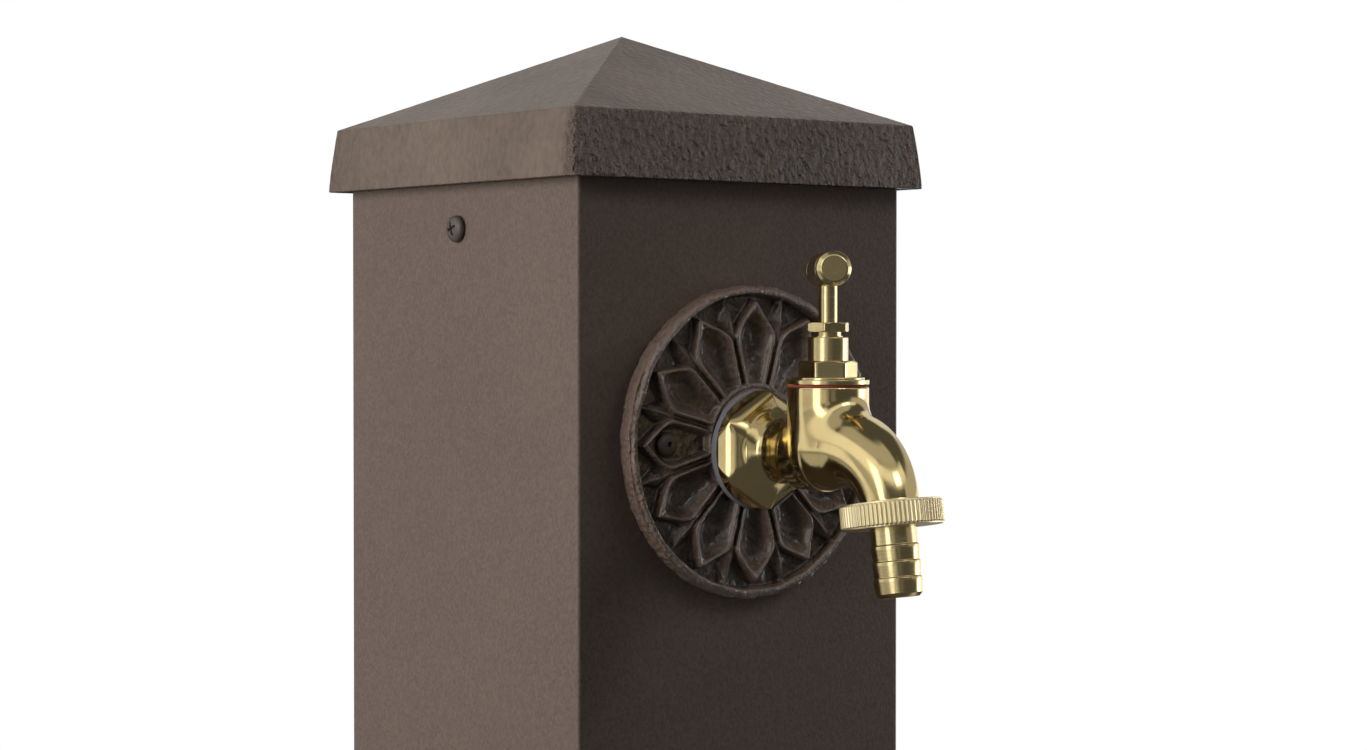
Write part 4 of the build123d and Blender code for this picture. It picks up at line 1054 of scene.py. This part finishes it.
def rosette_height(r, angle):
    """Height of the rosette's face over the wall: the highest of ground, petals and leaves.

    A rim runs round the outside. In the middle a low ring surrounds the washer's seat.
    """
    forms = [ROSETTE_GROUND + 0 * r, petal_height(r, angle), leaf_height(r, angle)]
    height = np.maximum.reduce(forms)
    rim = step_up(r, ROSETTE_R - ROSETTE_RIM - 0.5, ROSETTE_R - ROSETTE_RIM + 0.6)
    rim_top = ROSETTE_THICK - RIM_UNDER - RIM_FALL * step_up(r, ROSETTE_R - 1.9, ROSETTE_R)
    hub = 1 - step_up(r, HUB_R - 0.9, HUB_R + 0.2)
    hub_top = HUB_RING_HEIGHT - HUB_FALL * step_up(-r, 1.6 - HUB_R, 2.2 - HUB_R)
    seat = 1 - step_up(r, HUB_R - 2.6, HUB_R - 2.3)
    hub_top = hub_top * (1 - seat) + HUB_HEIGHT * seat
    return (height * (1 - rim) + rim_top * rim) * (1 - hub) + hub_top * hub


def make_rosette():
    """Cast face over a polar grid, closed by its edge, its back and its hole."""
    angle = round_angles(ROSETTE_COLUMNS)
    face_r = np.concatenate([
        np.linspace(HUB_HOLE_R, 15.8, 4), np.linspace(16.1, 20.0, 14),
        np.linspace(20.3, ROSETTE_R - 0.05, 92), [ROSETTE_R],
    ])[:, None]
    flat = np.stack([face_r * np.cos(angle), face_r * np.sin(angle)], axis=-1)
    r_seen = face_r + noise(flat, *WAVER) * step_up(face_r, 22, 26)
    h = rosette_height(r_seen, angle + noise(flat, *LEAN))
    rough = (PITS_FACE + PITS_RIM * step_up(face_r, 44, 46)) * noise(flat, *PITS)
    rough = rough + noise(flat, *LUMPS)
    h = h + rough * step_up(face_r, 17.0, 18.5)
    edge = np.stack([angle * ROSETTE_MEAN_R, angle * 0], -1)
    outer = ROSETTE_R - RIM_IN + noise(edge, *RAGGED_RIM)
    share = np.clip((face_r - ROSETTE_R + 1.5) / 1.5, 0, 1)
    r_grid = face_r + (outer - ROSETTE_R) * share
    wall_share = np.linspace(0.9, 0.0, 9)[:, None]
    edge = np.stack(np.broadcast_arrays(angle * ROSETTE_MEAN_R, wall_share * ROSETTE_THICK), -1)
    wall_r = np.minimum(r_grid[-1:] + noise(edge, *RAGGED_WALL), ROSETTE_R)
    radius = np.vstack([r_grid, wall_r, np.full_like(angle, HUB_HOLE_R)])
    height = np.vstack([h, h[-1:] * wall_share, 0 * angle])
    height = np.minimum(height, wall_y - rosette_low[1])
    lift = np.where(np.arange(len(height))[:, None] < len(face_r), height, WALL_LIFT)
    up = rosette_z + radius * np.sin(angle)
    up = up - np.where(radius < HUB_HOLE_R + 0.01, rosette_z - axis_z, 0)
    grid = np.stack([radius * np.cos(angle), wall_y - height, up], axis=-1)
    piece = skin("cast_rosette", grid, ring_rows=True, attributes={"lift": lift})
    dress(piece, "column", "rosette", "rosette_iron")


make_rosette()

# %% [markdown]
# ## Rivets and cap screws
# Two blind rivets hold the rosette. Each head is a low dome round the eye of the broken
# pin. The cap's screws have pan heads with a cross recess, cut here as a dip in the
# height of the dome along two crossing bars.

# %% Rivets and screws
RIVET_HEAD_R, RIVET_HEAD, RIVET_SHANK_R, RIVET_BULB_R, RIVET_EYE_R = 3.9, 1.9, 2.0, 3.1, 0.8
RIVET_BULB_AT = -3.9
SCREW_HEAD_R, SCREW_SHANK_R, SCREW_END = 4.3, 2.5, -16.0
SCREW_COLUMNS, SCREW_ROWS, SCREW_EDGE, SCREW_CURVE = 160, 45, 1.0, 2.6
CROSS_TURN, CROSS_HALF, CROSS_WIDE, CROSS_DEEP = math.radians(18), 2.2, 0.45, 1.3


def make_rivets():
    """Domed head, shank and bulb for each rivet, carried round its own axis."""
    low, high = box_mm("rosette_rivets")
    reach = half_width("rosette_rivets") - RIVET_HEAD_R
    crown, bulb = wall_y - low[1], wall_y - high[1]
    seat, eye = crown - RIVET_HEAD, crown - 1.2
    profile = rounded([
        (0, bulb), (2.2, bulb), (RIVET_BULB_R, bulb + 0.9), (RIVET_BULB_R, RIVET_BULB_AT),
        (RIVET_SHANK_R, -3.0), (RIVET_SHANK_R, seat), (RIVET_HEAD_R, seat),
        (RIVET_HEAD_R, seat + 0.45), (2.9, seat + 1.5), (0.95, crown), (RIVET_EYE_R, eye),
        (0, eye),
    ], [0.2, 0.3, 0.3, 0.1, 0.1, 0.1, 0.3, 0.6, 0.2, 0.1])
    heads = []
    for sign in (-1, 1):
        axis = (np.array([sign * reach, wall_y, rosette_z]), X, Z, -Y)
        heads.append(turned(f"rivet_{sign}", profile, axis, columns=64))
    dress(joined("domed_rivets", heads), "column", "rosette_rivets", "coated_fixings")


def make_screws():
    """Pan heads with a cross recess: a polar grid over each head, and a plain shank."""
    low, high = box_mm("cap_screws")
    middle, head = (low[2] + high[2]) / 2, high[0] + wall_y
    angle = round_angles(SCREW_COLUMNS)
    r = np.linspace(0, 1, SCREW_ROWS)[:, None]
    across, up = SCREW_HEAD_R * r * np.cos(angle), SCREW_HEAD_R * r * np.sin(angle)
    dome = SCREW_EDGE + (head - SCREW_EDGE) * np.sqrt(np.maximum(1 - r**SCREW_CURVE, 0))
    p = np.abs(across * math.cos(CROSS_TURN) + up * math.sin(CROSS_TURN))
    q = np.abs(up * math.cos(CROSS_TURN) - across * math.sin(CROSS_TURN))
    bars = [np.maximum(a - CROSS_HALF, b - CROSS_WIDE) for a, b in ((p, q), (q, p))]
    recess = CROSS_DEEP * (1 - step_up(np.minimum(*bars), -0.12, 0.12))
    rest = np.zeros_like(angle)
    out = np.vstack([dome - recess, rest, rest, rest + SCREW_END, rest + SCREW_END])
    radius = np.vstack([SCREW_HEAD_R * r + rest, rest + SCREW_HEAD_R, rest + SCREW_SHANK_R])
    radius = np.vstack([radius, rest + SCREW_SHANK_R, rest])
    heads = []
    for sign in (-1, 1):
        place = [sign * (out - wall_y), sign * radius * np.cos(angle)]
        grid = np.stack([*place, middle + radius * np.sin(angle)], -1)
        heads.append(skin(f"screw_{sign}", grid))
    dress(joined("cross_head_screws", heads), "column", "cap_screws", "coated_fixings")


make_rivets()
make_screws()

# %% [markdown]
# ## Cap
# The cap is cast too: a skirt that leans in and a low pyramid. Every level of it is a
# square, so one profile of (half width, height) is carried round a square path. The skin
# is pushed in a little, here more and there less, so its edges are not ruler straight.

# %% Cap
cap_low, cap_high = box_mm("pyramid_cap")
CAP_OUT_RIM, CAP_SKIRT, CAP_RISE = 3.8, 20.8, 30.6
CAP_LEDGE, CAP_LEDGE_HALF, CAP_ROOF, CAP_ROOF_PEAK, CAP_GAP = 14.4, 57.0, 5.5, 5.6, 0.5
CAP_RIM_LIFT, CAP_SKIRT_CURVE, CAP_SINK = 0.16, 1.35, 0.6
CAP_DENTS, CAP_PITS = (0.10, 9.0, 2.4, 3), (0.05, 2.2, 6.1, 2)
LUG_IN, LUG_WIDE, LUG_HALF, LUG_TALL, LUG_ROUND = 3.5, 8, 9, 40, 0.8
POST_HALF = -wall_y
CAP_RIM_Z = (cap_high[2] - CAP_RISE) * MM


def square_path(per_side=64, corner=0.02):
    """Points round a square of half width 1, each corner cut back and rounded a little."""
    t = np.linspace(-1 + corner, 1 - corner, per_side)
    turn = np.linspace(0, np.pi / 2, 7)[1:-1]
    side = np.stack([t, -np.ones_like(t)], axis=1)
    bend = np.stack([1 - corner + corner * np.sin(turn), -1 + corner - corner * np.cos(turn)], 1)
    quarter = np.vstack([side, bend])
    sides = []
    for a in np.arange(4) * np.pi / 2:
        sides.append(quarter @ [[math.cos(a), math.sin(a)], [-math.sin(a), math.cos(a)]])
    return np.vstack(sides)


def make_cap():
    """Cast cap: outer skin from the bottom edge to the peak, and the hollow below it."""
    peak = cap_high[2]
    rim_z = peak - CAP_RISE + CAP_RIM_LIFT
    bottom_z = rim_z - CAP_SKIRT
    rim, foot = POST_HALF + CAP_OUT_RIM, half_width("pyramid_cap")
    s = np.linspace(0, 1, 26)
    skirt = np.stack([foot - (foot - rim) * s**CAP_SKIRT_CURVE, bottom_z + CAP_SKIRT * s], axis=1)
    s = np.linspace(0, 1, 60)[1:]
    roof = np.stack([rim * (1 - s), rim_z + (peak - rim_z) * s], axis=1)
    brow = rounded(np.vstack([skirt[-2:], roof[:1]]), 0.7)
    inner, ledge_z, ledge = POST_HALF + CAP_GAP, bottom_z + CAP_LEDGE, CAP_LEDGE_HALF
    shoulder_z = rim_z + (rim - ledge) * (peak - rim_z) / rim - CAP_ROOF
    inside = np.array([
        (0, peak - CAP_ROOF_PEAK), (ledge, shoulder_z), (ledge, ledge_z), (inner, ledge_z),
        (inner, bottom_z), (foot, bottom_z),
    ])
    lip = rounded(np.vstack([inside[-2:], skirt[1:2]]), 0.5)[1:-1]
    profile = np.vstack([inside[:-1], lip, skirt[1:-2], brow, roof[1:]])
    path = square_path()
    up = np.broadcast_to(profile[:, None, 1:], (len(profile), len(path), 1))
    grid = np.concatenate([profile[:, None, :1] * path[None], up], axis=2)
    skin_part = grid[len(inside):]
    push = noise(skin_part, *CAP_DENTS) + noise(skin_part, *CAP_PITS)
    size = np.linalg.norm(skin_part[..., :2], axis=2, keepdims=True)
    push = np.abs(push[..., None]) * np.clip(size / 20, 0, 1)
    skin_part[..., :2] -= skin_part[..., :2] / np.maximum(size, 1) * push
    skin_part[..., 2:] -= push * CAP_SINK
    return skin("cast_cap_skin", grid)


def make_lug(sign):
    """Block under the cap that a screw holds, reaching into the column."""
    work = bmesh.new()
    bmesh.ops.create_cube(work, size=1.0)
    outer = POST_HALF - LUG_IN
    low = np.array([outer - LUG_WIDE, -LUG_HALF, cap_low[2]])
    high = np.array([outer, LUG_HALF, cap_low[2] + LUG_TALL])
    for v in work.verts:
        v.co = (low + (high - low) * (np.array(v.co) + 0.5)) * [sign, 1, 1] * MM
    rounds = dict(offset=LUG_ROUND * MM, segments=2, affect="EDGES", profile=0.5)
    bmesh.ops.bevel(work, geom=list(work.edges), **rounds)
    return finish_mesh(f"lug_{sign}", bpy.data.meshes.new(f"lug_{sign}"), work)


cap = joined("cast_cap", [make_cap(), make_lug(-1), make_lug(1)])
dress(cap, "column", "pyramid_cap", "coated_casting")

# %% [markdown]
# ## Finishes
# Each finish is a small tree of nodes. What several finishes share, such as the grain of a
# casting or the fine lines that a lathe leaves, is a node group with named inputs, and the
# shader itself stays in the material.

# %% Shared groups
def noise_texture(group, place, scale, detail):
    """Noise from 0 to 1 at a place."""
    return output(group, "TexNoise", Vector=place, Scale=scale, Detail=detail)


def grain_group():
    """Two noises on object coordinates: a fine one and a broad one, each from 0 to 1."""
    inputs = {"Fine": 900.0, "Broad": 60.0, "Stretch": 1.0}
    group, given, out = new_group("grain", inputs, ["Fine grain", "Broad grain"])
    place = output(group, "TexCoord", "Object")
    squeeze = output(group, "CombineXYZ", X=1.0, Y=1.0, Z=given["Stretch"])
    scaled = math_node(group, "MULTIPLY", place, squeeze, vector=True)
    for label, detail in (("Fine", 4.0), ("Broad", 5.0)):
        made = noise_texture(group, scaled, given[label], detail)
        group.links.new(made, out[f"{label} grain"])
    return group


def turning_group():
    """Lathe lines: noise that changes fast along the profile and hardly at all round it."""
    group, given, out = new_group("turning_lines", {"Lines": 6.0}, ["Lines", "Patches"])
    uv = node(group, "UVMap")
    uv.uv_map = "along"
    parts = node(group, "SeparateXYZ", Vector=uv.outputs[0]).outputs
    round_way = math_node(group, "MULTIPLY", parts["X"], 0.6)
    along = math_node(group, "MULTIPLY", parts["Y"], given["Lines"])
    place = output(group, "CombineXYZ", X=round_way, Y=along, Z=0.0)
    where = output(group, "TexCoord", "Object")
    group.links.new(noise_texture(group, place, 1.0, 3.0), out["Lines"])
    group.links.new(noise_texture(group, where, 120.0, 3.0), out["Patches"])
    return group


GRAIN = grain_group()
TURNING = turning_group()


def ramp(tree, value, *stops):
    """Colour ramp from two (position, colour) stops."""
    made = node(tree, "ValToRGB", i0=value)
    for element, (position, colour) in zip(made.color_ramp.elements, stops):
        element.position = position
        element.color = (*colour, 1.0)
    return made.outputs[0]


def tones(tree, value, colour, dark, light, low=0.3, high=0.7):
    """Ramp from a darker to a lighter tone of a colour, neither above white."""
    dark, light = ([min(1.0, part * c) for c in colour] for part in (dark, light))
    return ramp(tree, value, (low, dark), (high, light))


def mix_colours(tree, share, first, second):
    """Colour between two. The colours are sockets 6 and 7 of a Mix node, and output 2."""
    made = node(tree, "Mix", Factor=share)
    made.data_type = "RGBA"
    fill(tree, made, i6=first, i7=second)
    return made.outputs[2]


def attribute(tree, name):
    """Number stored on the mesh's points."""
    made = node(tree, "Attribute")
    made.attribute_name = name
    return made.outputs["Fac"]


def new_material(slot, name, group, inputs, looks, **settings):
    """Material for a slot: one Principled shader, with its colour, roughness and normal from
    a function of the tree and the two outputs of a shared group."""
    material = bpy.data.materials.new(name)
    tree = clear_tree(material)
    shader = node(tree, "BsdfPrincipled", **settings)
    node(tree, "OutputMaterial", Surface=shader.outputs[0])
    colour, roughness, normal = looks(tree, *place_group(tree, group, **inputs))
    fill(tree, shader, Base_Color=colour, Roughness=roughness, Normal=normal)
    materials[slot] = material


def bump(tree, height, distance, strength=1.0):
    """Bump from a height, with its depth in metres."""
    return output(tree, "Bump", Height=height, Distance=distance, Strength=strength)


# %% [markdown]
# Paint first. The column has a fine matt coat, a warm dark brown: up close it is speckled,
# and the broad faces are a little uneven. The casting of the cap is rougher under its coat,
# most of all on the front of its skirt. The rosette is waxed iron, with painted shade in its hollows and a painted
# sheen on its crests.

# %% Paint and iron
PAINT = (0.095, 0.069, 0.056)
CASTING = (0.097, 0.0715, 0.0555)
IRON_DARK, IRON_LIGHT = (0.064, 0.041, 0.029), (0.120, 0.079, 0.057)
# the second colour here is painted shade, laid on the rosette's low hollows
IRON_PATCH, IRON_PAINTED_SHADE = (0.125, 0.078, 0.053), (0.030, 0.019, 0.013)
# painted sheen: a lighter colour laid on the rosette's high crests
IRON_PAINTED_SHEEN = (0.160, 0.122, 0.102)
SKIRT_FADE, FRONT_FROM, FRONT_TO = 0.001, -0.064, -0.067


def grain_mix(tree, fine, broad, share):
    """The fine grain's share and the rest of the broad grain, added."""
    rest = math_node(tree, "MULTIPLY", broad, 1 - share)
    return math_node(tree, "MULTIPLY_ADD", fine, share, rest)


def paint_looks(tree, fine, broad):
    """Fine matt coat with a speckle and slow upright clouds."""
    colour = tones(tree, grain_mix(tree, fine, broad, 0.8), PAINT, 0.76, 1.26, 0.27, 0.73)
    return colour, span(tree, broad, 0.3, 0.7, 0.35, 0.39), bump(tree, fine, 0.00009)


def casting_looks(tree, fine, broad):
    """Coat over a sand casting: nearly the same brown, and rough on the front skirt."""
    colour = tones(tree, grain_mix(tree, fine, broad, 0.5), CASTING, 0.70, 1.28, 0.32, 0.68)
    place = output(tree, "TexCoord", "Object")
    parts = node(tree, "SeparateXYZ", Vector=place).outputs
    skirt = span(tree, parts["Z"], CAP_RIM_Z + SKIRT_FADE, CAP_RIM_Z - SKIRT_FADE)
    front = span(tree, parts["Y"], FRONT_FROM, FRONT_TO)
    front_skirt = math_node(tree, "MULTIPLY", skirt, front)
    dull = span(tree, fine, 0.3, 0.7, 0.30, 0.46)
    rough = math_node(tree, "MULTIPLY_ADD", front_skirt, 0.88, 0.12)
    roughness = math_node(tree, "MULTIPLY_ADD", front_skirt, -0.12, dull)
    return colour, roughness, bump(tree, fine, 0.0045, rough)


def iron_looks(tree, fine, broad):
    """Waxed cast iron: the paint's brown, with painted shade in the hollows and a painted sheen on the ridges."""
    lift = attribute(tree, "lift")
    colour = ramp(tree, fine, (0.3, IRON_DARK), (0.7, IRON_LIGHT))
    for value, low, high, share, other in (
        (broad, 0.42, 0.62, 0.55, IRON_PATCH),
        # painted shade: low places on the rosette get a darker colour
        (lift, 3.6, 2.3, 0.75, IRON_PAINTED_SHADE),
        # painted sheen: high crests on the rosette get a lighter colour
        (lift, 4.8, 5.3, 0.6, IRON_PAINTED_SHEEN),
    ):
        colour = mix_colours(tree, span(tree, value, low, high, 0.0, share), colour, other)
    return colour, span(tree, fine, 0.3, 0.7, 0.36, 0.56), bump(tree, fine, 0.0013)


materials = {}
new_material(
    "coated_steel", "dark_brown_coat", GRAIN, dict(Fine=1100.0, Broad=22.0, Stretch=0.85),
    paint_looks, Specular_IOR_Level=0.25,
)
new_material(
    "coated_casting", "coated_casting", GRAIN, dict(Fine=430.0, Broad=35.0, Stretch=0.8),
    casting_looks, Specular_IOR_Level=0.32,
)
new_material(
    "rosette_iron", "waxed_iron", GRAIN, dict(Fine=700.0, Broad=45.0, Stretch=1.0), iron_looks,
    Coat_Weight=0.9, Coat_Roughness=0.24, Specular_IOR_Level=0.35,
)

# %% [markdown]
# Brass next. The body is polished, so it has a low roughness and a very slight waviness.
# The turned pieces show fine lathe lines round their axis, which spread the highlights.

# %% Brass and the small finishes
POLISHED = (0.82, 0.645, 0.305)
TURNED = (0.82, 0.66, 0.33)
# the knurl's paler, brighter brass is a painted highlight for the light its ridges catch
KNURL_PAINTED_HIGHLIGHT, KNURL_DULL = (1.0, 0.85, 0.51), 0.38


def polished_looks(tree, fine, broad):
    """Polished cast brass: nearly a mirror, with soft waves and a little tarnish."""
    colour = tones(tree, broad, POLISHED, 0.86, 1.0)
    return colour, span(tree, fine, 0.3, 0.75, 0.09, 0.2), bump(tree, broad, 0.0004, 0.35)


def turned_looks(tree, lines, patches):
    """Turned brass: pale, with fine lines round its axis, duller on the knurl, where a paler colour is a painted
    highlight.
    """
    satin_and_highlight = attribute(tree, "satin_and_highlight")
    # painted highlight: the knurl's mask swaps in a paler, brighter brass
    colour = mix_colours(tree, satin_and_highlight, tones(tree, lines, TURNED, 0.80, 1.0), KNURL_PAINTED_HIGHLIGHT)
    dull = math_node(tree, "MULTIPLY", satin_and_highlight, KNURL_DULL)
    smooth = span(tree, patches, 0.35, 0.65, 0.15, 0.25)
    return colour, math_node(tree, "MAXIMUM", smooth, dull), bump(tree, lines, 0.00002, 0.6)


def simple_looks(colour, roughness):
    """Plain finish with a grain in its colour, its roughness and its surface."""
    def looks(tree, fine, broad):
        rough = span(tree, fine, 0.3, 0.7, roughness - 0.06, roughness + 0.08)
        return tones(tree, broad, colour, 0.82, 1.1), rough, bump(tree, fine, 0.0001)

    return looks


new_material(
    "polished_brass", "polished_brass", GRAIN, dict(Fine=260.0, Broad=40.0, Stretch=1.0),
    polished_looks, Metallic=1.0,
)
new_material("turned_brass", "turned_brass", TURNING, dict(Lines=7.0), turned_looks, Metallic=1.0)
for name, colour, roughness, metallic, scale in (
    ("coated_fixings", (0.060, 0.047, 0.041), 0.42, 0.0, 600.0),
    ("pale_washer", (0.15, 0.145, 0.16), 0.45, 0.0, 600.0),
    ("red_fibre", (0.17, 0.032, 0.022), 0.7, 0.0, 600.0),
    ("black_rubber", (0.018, 0.018, 0.018), 0.6, 0.0, 600.0),
    ("galvanised_steel", (0.50, 0.51, 0.53), 0.4, 1.0, 300.0),
):
    scales = dict(Fine=scale, Broad=80.0, Stretch=1.0)
    new_material(name, name, GRAIN, scales, simple_looks(colour, roughness), Metallic=metallic)
slots = {row["node"]: row["material_slot"] for row in frame["record"]["subparts"]}
painted = [(piece, slots[name]) for name, piece in frame["nodes"].items()]
painted += [(piece, piece["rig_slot"]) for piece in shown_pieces() if "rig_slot" in piece]
for piece, slot in painted:
    piece.data.materials.clear()
    piece.data.materials.append(materials[slot])
print("materials", len(materials))
